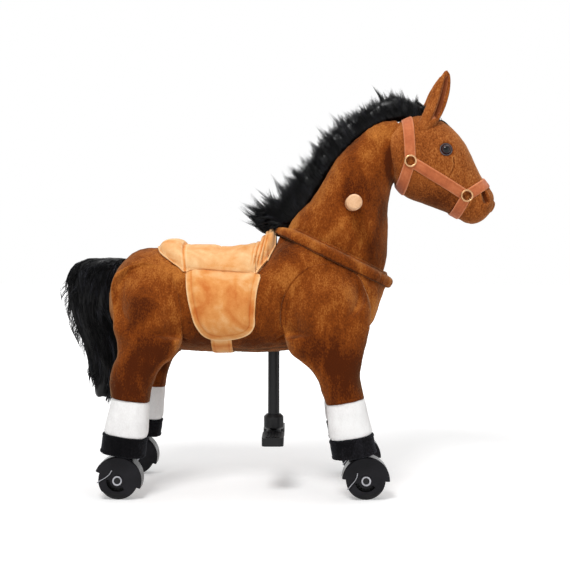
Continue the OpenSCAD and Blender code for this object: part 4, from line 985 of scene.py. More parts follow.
cheek_seam = smooth_rows([(337, 650), (338, 636), (331, 620), (322, 607)], 24)
mouth_seam = smooth_rows([(371, 574), (366, 560), (356, 546), (345, 532)], 24)
eye_far = np.hypot(p[:, 0] - EYE[0], p[:, 2] - EYE[1])
nose = p[:, [0, 2]] - NOSTRIL
nose_u = nose[:, 0] * math.cos(NOSTRIL_LEAN) + nose[:, 1] * math.sin(NOSTRIL_LEAN)
nose_v = -nose[:, 0] * math.sin(NOSTRIL_LEAN) + nose[:, 1] * math.cos(NOSTRIL_LEAN)
rim = np.exp(-((np.hypot(nose_u / 8.0, nose_v / 17.0) - 1) ** 2) / 0.06)
lift = -3.2 * bell(eye_far, 13.5, 4) + 1.6 * bell(eye_far - 17, 5)
swell(head, lift + (1.8 * rim - 7.0 * bell(nose_u, 4.4) * bell(nose_v, 11.5, 4)))
p, tone = nap(head, 80, 0.35, 1.0, [(cheek_seam, 1.5, 0.8), (mouth_seam, 1.6, 1.0)])
tone -= 1.3 * bell(nose_u, 3.8) * bell(nose_v, 10.5, 4)
# The coat's patches add painted shade under the jaw
tone += brushed_and_shaded(p) - 0.25 * bell(eye_far, 14.5, 6)
set_value(head, "tone", tone)
piece("head_skin", head, FACE, "neck", "brown_plush", "head_plush", fill=0.95)

# Eyelids round the glass eyes
lids = []
for _, side in SIDES:
    round_eye = []
    for a in angles(64):
        spot, normal = head_side(EYE[0] + 11.6 * np.cos(a), EYE[1] + 11.2 * np.sin(a), side)
        round_eye.append(spot + normal * 0.2)
    lids.append(tube("lid", round_eye, 0.95, 10, True))
piece("eyelids", joined("eyelids", lids), EYE_RIM, "neck", "black_plastic")
EYE_GLASS = eye_material("eye_glass", EYE)

# Ears: cupped leaves, brown outside and paler inside, by height, forward place, width and thickness
EAR_SHARES = (
    (0.00, 0.00, 0.80, 0.90), (0.12, 0.16, 1.00, 1.00), (0.32, 0.46, 1.02, 0.90),
    (0.56, 0.70, 0.93, 0.72), (0.80, 0.89, 0.70, 0.52), (0.93, 0.99, 0.42, 0.36),
    (1.00, 1.03, 0.15, 0.18),
)
EAR_H, EAR_W, EAR_T, EAR_Y, EAR_LEAN = 124, 46, 30, 36, 0.35
EAR_ROWS, EAR_AROUND, EAR_CAP = 90, 96, 4
EAR_FACING, EAR_WALL = 122, 142
EAR_FOOT = head_at(0.27, 0.815)
ear_table = []
for s, m, w, t in EAR_SHARES:
    x, z, h = EAR_FOOT[0] + m * EAR_W, EAR_FOOT[1] + s * EAR_H, w * EAR_W / 2
    ear_table.append((x - h, z - h * EAR_LEAN, x + h, z + h * EAR_LEAN, t * EAR_T / 2, 0, 0.95))
ear_rings = sections(smooth_rows(ear_table, EAR_ROWS), EAR_AROUND)
centre = ear_rings.mean(1, keepdims=True)
angle = angles(EAR_AROUND)
# The opening faces forward and outward
facing = np.degrees(np.abs((angle - np.radians(EAR_FACING) + np.pi) % (2 * np.pi) - np.pi))
height = np.linspace(0, 1, EAR_ROWS)[:, None]
cup = (1 - step(14, 38, facing))[None, :] * step(0.14, 0.34, height) * (1 - step(0.84, 0.95, height))
# Painted shade on the front inner wall of the ear's cup
front_wall_shade = bell(np.degrees(angle) - EAR_WALL, 9)[None, :] * cup
ear_rings = centre + (ear_rings - centre) * (1 - 0.74 * cup)[..., None]
rows = slice(EAR_CAP * EAR_AROUND, EAR_CAP * EAR_AROUND + cup.size)
for name, side in SIDES:
    ring = ear_rings.copy()
    ring[..., 1] = side * (EAR_Y + ring[..., 1])
    mesh = skin("ear_" + name, domed(ring, 0.5, 1.5, EAR_CAP + 1))
    p, tone = nap(mesh, 95, 0.3, 0.5)
    inner = np.zeros(len(p))
    inner[rows] = cup.reshape(-1)
    # The cup's front inner wall is darkened: painted shade
    tone[rows] -= 0.7 * front_wall_shade.reshape(-1)
    set_value(mesh, "tone", tone)
    piece("ear_" + name, mesh, FACE, "neck", "brown_plush", "ears", fill=0.6)
    mesh.materials.append(LINING)
    for f in mesh.polygons:
        f.material_index = int(min(inner[v] for v in f.vertices) > 0.3)

# Halter of woven straps over the head, from ring to ring
STRAP_W, STRAP_T, RING_R = 21, 2.4, 9.0
STRAP_COLUMNS, STRAP_ROWS = 11, 34
RING_HIGH, RING_LOW = head_at(0.15, 0.565), head_at(0.70, 0.255)
STRAPS = {
    "crown": (RING_HIGH, head_at(0.13, 1.10), True),
    "throat": (RING_HIGH, head_at(0.05, 0.24), True),
    "cheek": (RING_HIGH, RING_LOW, False),
    "nose": (RING_LOW, head_at(1.02, 0.44), True),
    "chin": (RING_LOW, head_at(0.54, -0.05), True),
}


def over_edge(a, b):
    """How far along a to b the head's outline is crossed"""
    low, high = 0.0, 1.0
    for _ in range(26):
        mid = (low + high) / 2
        q = a + (b - a) * mid
        hit = HEAD_TREE.ray_cast(Vector((q[0], CLEAR_OF_HEAD, q[1])), Vector((0, -1, 0)))[0]
        low, high = (mid, high) if hit is not None else (low, mid)
    return low


def strap_meshes(name, a, b, over):
    """A strap over the head, or one on each of its sides, with the runs along and across each"""
    way = (b - a) / np.linalg.norm(b - a)
    cross = np.array([-way[1], way[0]])
    offsets = np.linspace(-STRAP_W / 2, STRAP_W / 2, STRAP_COLUMNS)
    columns = []
    for c in offsets:
        bow = math.sqrt(max(RING_R**2 - c * c, 0))
        start, end = a + cross * c + way * bow, b + cross * c - way * (0 if over else bow)
        t = np.linspace(0, 1, STRAP_ROWS)
        if over:
            t = np.sin(np.linspace(0, np.pi / 2, STRAP_ROWS)) * over_edge(start, end)
        columns.append([start + (end - start) * k for k in t])
    made = []
    for _, side in SIDES:
        sheet = np.array([[head_side(*q, side) for q in column] for column in columns]).transpose(2, 1, 0, 3)
        if over:
            sheet[:, -1, :, 1] = 0
            sheet[1, -1] /= np.linalg.norm(sheet[1, -1], axis=1)[:, None]
        made.append(sheet)
    if over:
        made = [np.concatenate([made[0], made[1][:, -2::-1]], 1)]
    meshes = []
    for spots, normals in made:
        edge = 1 - 0.55 * np.abs(np.linspace(-1, 1, STRAP_COLUMNS)) ** 8
        outer = spots + normals * (0.3 + STRAP_T * edge)[None, :, None]
        mesh = slab(name, outer, spots + normals * 0.2)
        runs = np.linalg.norm(np.diff(spots[:, STRAP_COLUMNS // 2], axis=0), axis=1)
        along = np.repeat(np.concatenate([[0], np.cumsum(runs)]), STRAP_COLUMNS)
        meshes.append((mesh, np.tile(along, 2), np.tile(offsets, 2 * len(spots))))
    return meshes


straps = [made for name, strap in STRAPS.items() for made in strap_meshes(name, *strap)]
mesh = joined("halter", [made[0] for made in straps])
along, across = (np.concatenate([made[k] for made in straps]) for k in (1, 2))
set_value(mesh, "along", along)
set_value(mesh, "across", across)
set_value(mesh, "tone", 0.3 * step(7.6, 9.6, np.abs(across)) - 0.25 * bell(np.abs(across) - 7.2, 0.8))
piece("halter", mesh, WEB, "neck", "halter_web", "halter_straps")

# Saddle: padded seat with cantle and pommel, by place along it, top, bottom and width
SEAT_SHARES = (
    (0.000, 0.49, 0.06, 0.40), (0.045, 0.63, -0.09, 0.64), (0.120, 0.675, -0.25, 0.80),
    (0.190, 0.65, -0.35, 0.90), (0.250, 0.555, -0.40, 0.94), (0.360, 0.53, -0.46, 0.975),
    (0.500, 0.525, -0.49, 0.99), (0.645, 0.525, -0.49, 1.00), (0.780, 0.54, -0.47, 0.98),
    (0.860, 0.61, -0.38, 0.91), (0.920, 0.81, -0.25, 0.76), (0.972, 0.90, -0.13, 0.62),
    (1.000, 0.81, 0.03, 0.46),
)
seat_rows = upright_rows(
    SEAT_SHARES, (SADDLE_X, SADDLE_LEN), (SEAM_H, SADDLE_RISE), SADDLE_W, LEG_ROUND, 250
)
SEAM_LINE = np.array((
    (-242, 415), (-195, 420), (-179, 427), (-167, 435.5), (-152, 440), (-127, 442), (-95, 440),
    (-66, 433), (-34, 420), (-10, 415),
))
PADDING_LINE = np.array((
    (-242, 431), (-195, 433), (-168, 437), (-119, 440), (-75, 434), (-41, 426), (-10, 425),
))
CANTLE_X, POMMEL_X = -184, -34
# Points across the seat, and the least gap and thickness of its cover over the body
SEAT_ACROSS, SEAT_GAP, SEAT_COVER = 141, 0.5, 3.2
PLEATS = ((-54, 1.6), (-47, 3.0), (-39.5, 3.4), (-32, 1.8))
PIPING_TONE = 0.28


def seam_height(x):
    """The arched seam between seat and flap"""
    return np.interp(x, *SEAM_LINE.T)


def from_cantle(p):
    """Distance from the seam in front of the cantle"""
    return np.abs(p[..., 0] - CANTLE_X + (p[..., 2] - 450) * 0.12)


def seat_section(row, a):
    """A row of the seat at angles from its top: its heights, and the body's skin there"""
    x, top, _, low, wide, _, power = row
    z = (top + low) / 2 + rounded(np.cos(a), power) * (top - low) / 2
    return z, *body_skin(np.full(len(a), x), rounded(np.sin(a), power) * wide, z)


def seat_grid():
    """Outer and inner grids of the seat, from its right edge over the top to its left edge"""
    scan = np.linspace(0.02, np.pi, 400)
    heights, stops = [], []
    for row in seat_rows:
        x = row[0]
        _, c, _, dz, reach, far = seat_section(row, scan)
        hangs = c + dz * np.maximum(far, reach + SEAT_COVER)
        lies = np.nonzero(far < reach + 2.4)[0]
        skirt = 10 * step(-200, -178, x) ** 2 if x < -100 else 24 * (1 - step(-36, -14, x)) ** 2
        stops.append(max(hangs[lies[0]] - skirt if len(lies) else 0, seam_height(x) + 0.4))
        heights.append(hangs)
    stops = np.convolve(np.pad(stops, 6, mode="edge"), np.full(13, 1 / 13), mode="valid")
    outer, inner = [], []
    for row, hangs, stop in zip(seat_rows, heights, stops):
        past = np.nonzero(hangs < stop)[0]
        end = scan[-1]
        if len(past):
            k = max(past[0], 4)
            end = np.interp(stop, [hangs[k], hangs[k - 1]], [scan[k], scan[k - 1]])
        z, c, dy, dz, reach, far = seat_section(row, np.linspace(-end, end, SEAT_ACROSS))
        above = np.maximum(z - np.interp(row[0], *PADDING_LINE.T), 0)
        far = np.clip(far, reach + SEAT_COVER, reach + 4.4 + 2.0 * step(0, 5, above) + 0.62 * above)
        for grid, out in ((outer, far), (inner, reach + SEAT_GAP)):
            grid.append(np.stack([np.full(SEAT_ACROSS, row[0]), dy * out, c + dz * out], 1))
    return np.array(outer), np.array(inner)


outer, inner = seat_grid()
outer = stuffed(outer, from_cantle(outer) < 3, 6.0, 2.2)
mesh = slab("seat", outer, inner)
p = points_of(mesh)
upper = np.arange(len(p)) < outer.shape[0] * outer.shape[1]
cantle = from_cantle(p)
lift = 0.9 * fuzz(p, 34, 4) + 0.4 * fuzz(p, 13, 5) - 3.0 * bell(cantle, 2.8)
tone = 0.14 - 0.3 * bell(cantle, 1.8) + 0.2 * bell(cantle - 4, 1.5)
fan = step(437, 450, p[:, 2])
for x, deep in PLEATS:
    pleat = np.abs(p[:, 0] - x - (p[:, 2] - 460) * 0.16)
    lift -= deep * bell(pleat, 1.9) * fan
    # The pleats' creases are darkened: painted shade
    tone -= 0.17 * deep * bell(pleat, 1.5) * fan
tone -= 0.05 * bell(np.abs(p[:, 2] - seam_height(p[:, 0])), 2.2) * (np.abs(p[:, 1]) > 60)
rim = np.minimum(p[:, 0] - SADDLE_X, SADDLE_X + SADDLE_LEN - p[:, 0])
swell(mesh, lift * upper * step(0, 5, rim))
set_value(mesh, "tone", tone + 0.2 * (1 - step(2, 8, rim)))
piece("saddle_seat_cover", mesh, SUEDE, "chassis", "tan_suede", "saddle_seat", fill=0.7)
back_end, front_end = (int(np.argmin(np.abs(seat_rows[:, 0] - x))) for x in (CANTLE_X, POMMEL_X))
rear_line = np.concatenate([outer[1 : back_end + 1, 0][::-1], outer[1, 4:-4:4], outer[1 : back_end + 1, -1]])
fore_line = np.concatenate([outer[front_end:-1, 0], outer[-2, 4:-4:4], outer[front_end:-1, -1][::-1]])
cords = [tube("seat_piping", smooth_rows(line, 160), 1.5) for line in (rear_line, fore_line)]
mesh = joined("seat_piping", cords)
set_value(mesh, "tone", np.full(len(mesh.vertices), PIPING_TONE))
piece("saddle_seat_piping", mesh, SUEDE, "chassis", "tan_suede")

# Saddle flaps with piping and a stitched line: outline from the back seam down and up to the front seam
FLAP_SHARES = np.array((
    (0.272, 0.00), (0.275, -0.06), (0.285, -0.266), (0.320, -0.577), (0.365, -0.812), (0.425, -0.943),
    (0.510, -1.00), (0.640, -0.99), (0.735, -0.953), (0.800, -0.887), (0.828, -0.812), (0.835, -0.624),
    (0.850, -0.295), (0.875, -0.06), (0.882, 0.00),
))
FLAP_ROWS, FLAP_COLUMNS, STITCH_IN = 70, 80, 8.5
flap_line = smooth_rows(FLAP_SHARES * [SADDLE_LEN, FLAP_DROP] + [SADDLE_X, SEAM_H + 1], 160)
low_point = int(np.argmin(flap_line[:, 1]))
FLAP_LOW = flap_line[low_point, 1]
flap_sides = (flap_line[low_point::-1], flap_line[low_point:])


def hung(x, z):
    """How far a point of the flat flap moves up or down so that its top follows the arched seam"""
    share = np.clip((z - FLAP_LOW) / (SEAM_H - FLAP_LOW), 0, 1) ** 3
    return share, seam_height(x) - SEAM_H


flap_top = SEAM_H + 0.8
flat_z = flap_top - (flap_top - FLAP_LOW - 0.4) * np.sin(np.linspace(0, 1, FLAP_ROWS) * np.pi / 2) ** 0.9
back, front = (np.interp(flat_z, line[:, 1], line[:, 0])[:, None] for line in flap_sides)
x = back + (front - back) * ((1 - np.cos(np.linspace(0, np.pi, FLAP_COLUMNS))) / 2)
flat_z = np.repeat(flat_z[:, None], FLAP_COLUMNS, 1)
share, rise = hung(x, flat_z)
z = flat_z + (rise + 1.2) * share
flat = np.stack([x, np.zeros_like(x), flat_z], 2).reshape(-1, 3)
far = line_distance(flat, flap_line).reshape(x.shape)
fold = np.abs(x + 83 + (z - 380) * 0.03)
fold_share = step(355, 385, z)
flap_y = body_side(x, z)
flap_tone = 0.18 * bell(far, 3.5) - 0.2 * bell(far - STITCH_IN, 1.4) - 0.14 + 0.2 * step(385, 440, z)
flap_tone = flap_tone - 0.1 * bell(fold, 3) * fold_share
edge = flap_line[2:-2].copy()
share, rise = hung(*edge.T)
edge[:, 1] += rise * share
edge_y = body_side(edge[:, 0], edge[:, 1]) + 2.3
for name, side in SIDES:
    thick = 2.2 + 4.2 * step(0, 16, far) - 1.3 * bell(far - STITCH_IN, 2.0)
    thick += 0.9 * fuzz(flat, 30, 11 + side).reshape(x.shape) + 0.4 * fuzz(flat, 12, 12).reshape(x.shape)
    thick += 1.4 * bell(fold, 6) * fold_share
    thick *= 0.6 + 0.4 * step(0, 6, seam_height(x) + 1 - z)
    outer = np.stack([x, side * (flap_y + 0.5 + thick), z], 2)
    outer = stuffed(outer, np.abs(far - STITCH_IN) < 1.6, 40.0, 3.0)
    mesh = slab("flap_" + name, outer, np.stack([x, side * (flap_y + 0.4), z], 2))
    set_value(mesh, "tone", np.tile(flap_tone.reshape(-1), 2))
    piece("saddle_flap_cover_" + name, mesh, SUEDE, "chassis", "tan_suede", "saddle_flap_" + name, fill=0.35)
    cord = tube("piping", np.stack([edge[:, 0], side * edge_y, edge[:, 1]], 1), 1.6, 10)
    set_value(cord, "tone", np.full(len(cord.vertices), PIPING_TONE))
    piece("saddle_piping_" + name, cord, SUEDE, "chassis", "tan_suede")

# Girth strap under the belly
GIRTH_X, GIRTH_HALF, GIRTH_REACH = SADDLE_X + 0.56 * SADDLE_LEN, 20, math.radians(122)
x, turn = np.meshgrid(np.linspace(GIRTH_X - GIRTH_HALF, GIRTH_X + GIRTH_HALF, 15), np.linspace(-1, 1, 150))
top, low, wide = body_section(x)
mid, half = (top + low) / 2, (top - low) / 2
angle = turn * GIRTH_REACH
u, v = rounded(np.cos(angle), BODY_ROUND), rounded(np.sin(angle), BODY_ROUND)
spots = np.stack([x, v * wide, mid - u * half], 2)
out = spots - np.stack([x, 0 * x, mid], 2)
out = out / np.linalg.norm(out, axis=2)[..., None]
off = np.abs(x - GIRTH_X)
keep = 1 - 0.5 * (off / GIRTH_HALF) ** 8
mesh = slab("girth", spots + out * (0.4 + 2.3 * keep)[..., None], spots + out * 0.3)
tone = 0.15 * step(16, 19, off) - 0.2 * bell(off - 15, 1.4)
set_value(mesh, "tone", np.tile(tone.reshape(-1), 2))
piece("girth_band", mesh, SUEDE, "chassis", "tan_suede", "girth_strap")


# Hair
def strands(name, lines, radius, tones):
    """Thin tapered hairs of three sides along lines of points, shape (hairs, points, 3)"""
    count, long = lines.shape[:2]
    t = np.gradient(lines, axis=1)
    t /= np.linalg.norm(t, axis=2)[..., None] + 1e-9
    side = np.cross(t, np.array([0.37, 0.61, 0.7]))
    side /= np.linalg.norm(side, axis=2)[..., None] + 1e-9
    up = np.cross(t, side)
    r = np.asarray(radius)[:, None, None] * np.linspace(1, 0.35, long - 1)[None, :, None]
    turns = (0, 2 * math.pi / 3, 4 * math.pi / 3)
    rings = [lines[:, :-1] + r * (math.cos(a) * side[:, :-1] + math.sin(a) * up[:, :-1]) for a in turns]
    points = np.concatenate([np.stack(rings, 2).reshape(count, -1, 3), lines[:, -1:]], 1)
    each = 3 * (long - 1) + 1
    pattern = [[0, 2, 1]] + quads(long - 1, 3).tolist()
    pattern += [[each - 4 + j, each - 4 + (j + 1) % 3, each - 1] for j in range(3)]
    faces = [[v + base for v in f] for base in range(0, count * each, each) for f in pattern]
    mesh = new_mesh(name, points.reshape(-1, 3), faces)
    set_value(mesh, "tone", np.repeat(tones, each))
    return mesh


rng = np.random.default_rng(7)


def hair_piece(name, lines, thick, body, *replaced, each=16):
    """Hairs of random thickness, each with its tuft's tone and a little of its own"""
    count = len(lines)
    radius = rng.uniform(*thick, count)
    tufts = rng.normal(-0.08, 0.2, count // each + 1)
    tones = np.repeat(tufts, each)[:count] + rng.normal(0, 0.09, count)
    piece(name, strands(name, lines, radius, tones), HAIR, body, "black_hair", *replaced)


# Mane: the crest's place, the hair's reach and the width
MANE_SHARES = (
    (-0.88, 0.175, -1.20, 0.35, 0.45), (-0.72, 0.235, -1.05, 0.41, 0.80),
    (-0.53, 0.32, -0.76, 0.52, 0.95), (-0.32, 0.44, -0.59, 0.625, 1.00),
    (-0.15, 0.565, -0.37, 0.72, 1.00), (0.00, 0.67, -0.22, 0.84, 1.00), (0.22, 0.775, -0.02, 0.94, 1.00),
    (0.48, 0.885, 0.31, 1.04, 0.95), (0.79, 0.965, 0.66, 1.12, 0.90), (1.10, 1.00, 0.98, 1.19, 0.80),
    (1.35, 1.005, 1.31, 1.15, 0.65), (1.55, 1.005, 1.58, 1.09, 0.48), (1.70, 0.98, 1.76, 1.045, 0.28),
)
MANE_W = 52
mane_rows = leaning_rows(MANE_SHARES, neck_at, MANE_W, 200)


def mane_at(s):
    """Crest point, outward way and half width at share s of the mane's length"""
    k = s * (len(mane_rows) - 1)
    row = np.stack([np.interp(k, np.arange(len(mane_rows)), mane_rows[:, c]) for c in range(5)], 1)
    return row[:, 0:2], row[:, 2:4] - row[:, 0:2], row[:, 4]


def mane_hairs(tufts, each, reach, spread, low_share):
    """Tufts of hairs along the crest, each drawn to a point"""
    count = tufts * each
    at = np.concatenate([rng.uniform(0.0, 1.0, tufts - low_share), rng.uniform(0.0, 0.1, low_share)])
    tuft_y = rng.uniform(-0.8, 0.8, tufts)
    lean = rng.normal(-0.1, spread, tufts) - 0.25 * (1 - step(0.0, 0.12, at))
    long = rng.uniform(*reach, tufts) * (1 + 0.22 * (1 - step(0.05, 0.4, at)))
    bend = rng.normal(0, 0.08, tufts)
    at, tuft_y, lean, long, bend = (np.repeat(k, each) for k in (at, tuft_y, lean, long, bend))
    crest, way, half = mane_at(np.clip(at + rng.normal(0, 0.014, count), 0.003, 0.997))
    foot, main, wide = mane_at(np.clip(at, 0.003, 0.997))
    root_y = np.clip(tuft_y + rng.normal(0, 0.3, count), -1, 1) * half * 0.62
    ahead = np.stack([main[:, 1], -main[:, 0]], 1)
    tip = foot + main * (long * (1 - 0.28 * np.abs(tuft_y)))[:, None] + ahead * lean[:, None]
    tip = tip + (crest - foot) * 0.15 + rng.normal(0, 0.6, (count, 2))
    tip[:, 1] -= 0.16 * np.linalg.norm(main, axis=1) * np.abs(tuft_y)
    tip_y = tuft_y * 0.78 * wide + rng.normal(0, 0.7, count)
    root = crest - way / np.linalg.norm(way, axis=1)[:, None] * 5
    end = rng.uniform(0.8, 1.0, count)
    lines = []
    for t in np.linspace(0, 1, 5):
        u = (t * end)[:, None]
        flat = root * (1 - u) + tip * u + ahead * (bend[:, None] * np.sin(np.pi * u))
        u = u[:, 0]
        y = root_y * (1 - u) + tip_y * u + np.sign(tuft_y) * 4 * np.sin(np.pi * u) * wide / 26
        lines.append(np.stack([flat[:, 0], y, flat[:, 1]], 1))
    return np.stack(lines, 1)


def fringe(tufts, each, root, tip, scatter):
    """Tufts from near one point to near another, arched a little outward"""
    scatter = np.array(scatter)
    lines = []
    for _ in range(tufts):
        a = np.array(root) + rng.normal(0, 1, 3) * scatter
        b = np.array(tip) + rng.normal(0, 1, 3) * scatter * 1.3
        roots = a + rng.normal(0, 1.8, (each, 3))
        tips = b + rng.normal(0, 0.8, (each, 3))
        rise = np.array([0, 0, 1]) * np.linalg.norm(b - a) * 0.16
        for r, q in zip(roots, tips):
            lines.append([r + (q - r) * t + rise * math.sin(math.pi * t) for t in np.linspace(0, 1, 5)])
    return np.array(lines)


# Tufts, hairs in each, reach, spread, tufts at the low end and thickness
MANE = (
    ("mane_hairs", mane_hairs(300, 30, (0.8, 1.04), 0.1, 30), (0.5, 0.85), "neck", "mane_hair"),
    ("mane_tufts", mane_hairs(480, 16, (0.85, 1.14), 0.13, 60), (0.5, 0.75), "neck"),
    ("mane_points", mane_hairs(190, 22, (1.1, 1.45), 0.2, 16), (0.5, 0.8), "neck"),
)
for layer in MANE:
    hair_piece(*layer)

# Forelock between the ears, and the last tufts over the collar's back
FRINGES = (
    (26, 18, (304, 0, 727), (332, 0, 712), (4, 9, 1.2)),
    (14, 18, (288, 0, 733), (276, 0, 764), (9, 8, 3)),
    (30, 18, (-2, 0, 512), (-40, 0, 531), (6, 15, 5)),
    (16, 18, (4, -24, 517), (-22, -36, 514), (5, 6, 3)),
    (16, 18, (4, 24, 517), (-22, 36, 514), (5, 6, 3)),
)
hair_piece("mane_ends", np.concatenate([fringe(*row) for row in FRINGES]), (0.5, 0.75), "neck")

# Dark backing under the mane's hairs
a = angles(28)
core = []
for row in mane_rows[4:-4:3]:
    crest, way = row[0:2], row[2:4] - row[0:2]
    middle = crest + way * 0.3
    x, z = middle[:, None] + np.cos(a) * way[:, None] * 0.46
    core.append(np.stack([x, np.sin(a) * row[4] * 0.62, z], 1))
mesh = skin("mane_core", domed(np.array(core), 2, 2, 4))
swell(mesh, 2.2 * fuzz(points_of(mesh), 9, 31))
set_value(mesh, "tone", np.full(len(mesh.vertices), -0.3))
piece("mane_backing", mesh, HAIR, "neck", "black_hair")

# Tail: height, outer edge, inner edge and width
TAIL_SHARES = np.array((
    (0.00, 0.53, 0.60, 0.12), (0.06, 0.44, 0.75, 0.45), (0.17, 0.385, 0.85, 0.68),
    (0.28, 0.355, 0.93, 0.82), (0.39, 0.285, 0.94, 0.92), (0.50, 0.17, 0.92, 1.00),
    (0.61, 0.075, 0.90, 1.00), (0.70, 0.025, 0.92, 0.95), (0.78, 0.00, 0.96, 0.86),
    (0.87, 0.01, 1.00, 0.74), (0.95, 0.10, 1.02, 0.58), (1.00, 0.34, 1.00, 0.34),
))
TAIL_REACH, TAIL_RUN, TAIL_Z, TAIL_H, TAIL_W = 424, 120, 164, 290, 74
tail_rows = smooth_rows(
    TAIL_SHARES * [TAIL_H, TAIL_RUN, TAIL_RUN, TAIL_W / 2] + [TAIL_Z, -TAIL_REACH, -TAIL_REACH, 0], 160
)


def tail_at(z, angle, out):
    """A point of the tail at a height, round its section and out from its middle"""
    o, i, w = (np.interp(z, tail_rows[:, 0], tail_rows[:, k]) for k in (1, 2, 3))
    x = (o + i) / 2 - np.cos(angle) * out * (i - o) / 2
    return np.stack([x, np.sin(angle) * out * w, z], -1)


def tail_hairs(tufts, each, flare, length):
    """Tufts that lie down the tail's outside and flick out at their points"""
    count = tufts * each
    start = rng.uniform(0.1, 1.0, tufts) ** 0.8
    side = rng.uniform(-np.pi, np.pi, tufts)
    out = rng.uniform(0.6, 0.98, tufts)
    kick = np.abs(rng.normal(0, flare, tufts)) * (1 + 0.8 * np.maximum(np.cos(side), 0))
    kick = kick * (1 - 0.75 * step(0.72, 0.92, start))
    long = rng.uniform(*length, tufts)
    stop = TAIL_Z + 20 + 28 * np.cos(side) + rng.uniform(-6, 18, tufts)
    turn = rng.normal(0, 0.14, tufts)
    rows = (start, side, out, kick, long, stop, turn)
    start, side, out, kick, long, stop, turn = (np.repeat(k, each) for k in rows)
    root_side = side + rng.normal(0, 0.16, count)
    tip_side = side + turn + rng.normal(0, 0.03, count)
    top = TAIL_Z + np.clip(start + rng.normal(0, 0.02, count), 0.06, 0.995) * TAIL_H
    low = np.maximum(top - long * rng.uniform(0.85, 1.0, count), np.minimum(stop, top - 12))
    root_out = out + rng.normal(0, 0.05, count)
    lines = []
    for t in np.linspace(0, 1, 6):
        z = top + (low - top) * t
        reach = root_out * (1 - t) + (out + kick) * t + (kick * 0.5) * (t**2 - t)
        about = root_side + (tip_side - root_side) * t
        line = tail_at(np.maximum(z, TAIL_Z + 8), about, np.minimum(reach, 1.3))
        line[:, 2] = z
        lines.append(line)
    return np.stack(lines, 1)


def dock_hairs(count):
    """Hairs that leave the root of the tail and arch over its top"""
    angle = rng.uniform(-np.pi, np.pi, count)
    z = TAIL_Z + rng.uniform(0.72, 0.9, count) * TAIL_H
    tip = tail_at(z, angle, rng.uniform(0.85, 1.06, count))
    root = np.stack([
        rng.uniform(-322, -312, count), rng.normal(0, 5, count), rng.uniform(436, 448, count)
    ], 1)
    peak = np.full(count, TAIL_Z + TAIL_H) + rng.uniform(-6, 9, count)
    bend = np.stack([tip[:, 0] * 0.75 + root[:, 0] * 0.25, tip[:, 1] * 0.9, peak], 1)
    arcs = [(1 - t) ** 2 * root + 2 * t * (1 - t) * bend + t * t * tip for t in np.linspace(0, 1, 6)]
    return np.stack(arcs, 1)


# Tufts, hairs in each, flare, length and thickness
long_hairs = np.concatenate([tail_hairs(190, 28, 0.08, (70, 130)), dock_hairs(1500)])
TAIL = (
    ("tail_hairs", long_hairs, (0.5, 0.8), "chassis", "tail_hair"),
    ("tail_tufts", tail_hairs(230, 24, 0.16, (40, 95)), (0.45, 0.7), "chassis"),
    ("tail_points", tail_hairs(130, 18, 0.34, (35, 75)), (0.45, 0.7), "chassis"),
)
for layer in TAIL:
    hair_piece(*layer)
a = angles(36)
core = [tail_at(np.full(36, row[0]), a, np.full(36, 0.86)) for row in tail_rows[12:-2:3]]
mesh = skin("tail_core", domed(np.array(core), 1, 3, 4))
p = points_of(mesh) * [1, 1, 0.18]
ridge = fuzz(p, 5, 41) + 0.6 * fuzz(p, 11, 42)
swell(mesh, 1.8 * ridge)
set_value(mesh, "tone", -0.18 + 0.1 * ridge)
piece("tail_backing", mesh, HAIR, "chassis", "black_hair")

# Return spring: a wire helix that the lever presses shorter
SPRING_TURNS, SPRING_WIRE, LEVER_TRAVEL = 9, 3, 8
low, high = (np.array(k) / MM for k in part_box("return_spring"))
a = np.linspace(0, 2 * np.pi * SPRING_TURNS, 24 * SPRING_TURNS + 1)
coil = (high[2] - low[2] - SPRING_WIRE) / 2
middle = (low + high) / 2
x = np.linspace(low[0] + SPRING_WIRE / 2, high[0] - SPRING_WIRE / 2, len(a))
helix = np.stack([x, middle[1] + coil * np.cos(a), middle[2] + coil * np.sin(a)], 1)
mesh = tube("spring", helix, SPRING_WIRE / 2, 12)
obj = piece("return_spring_wire", mesh, STEEL, "chassis", "bright_steel", "return_spring")
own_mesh(obj)

# Dark plugs in the dished axle heads, by radius and distance from the wheel's middle
PLUG = ((3.0, 21.2), (5.4, 20.9), (6.1, 20.4), (6.1, 19.6), (5.4, 19.2), (3.0, 19.1))
AXLES = {"front": FRONT_AXLE, "rear": REAR_AXLE}
a = angles(40)
for end, axle in AXLES.items():
    for name, side in SIDES:
        plugs = []
        for face in (-1, 1):
            rings = []
            for r, h in PLUG:
                y = np.full(40, side * TRACK + face * h)
                rings.append(np.stack([axle + r * np.cos(a), y, AXLE_H + r * np.sin(a)], 1))
            plugs.append(skin("plug", np.array(rings)))
        body = f"front_fork_{name}" if end == "front" else "rear_legs"
        piece(f"axle_plugs_{end}_{name}", joined("axle_plugs", plugs), PLASTIC, body, "black_plastic")

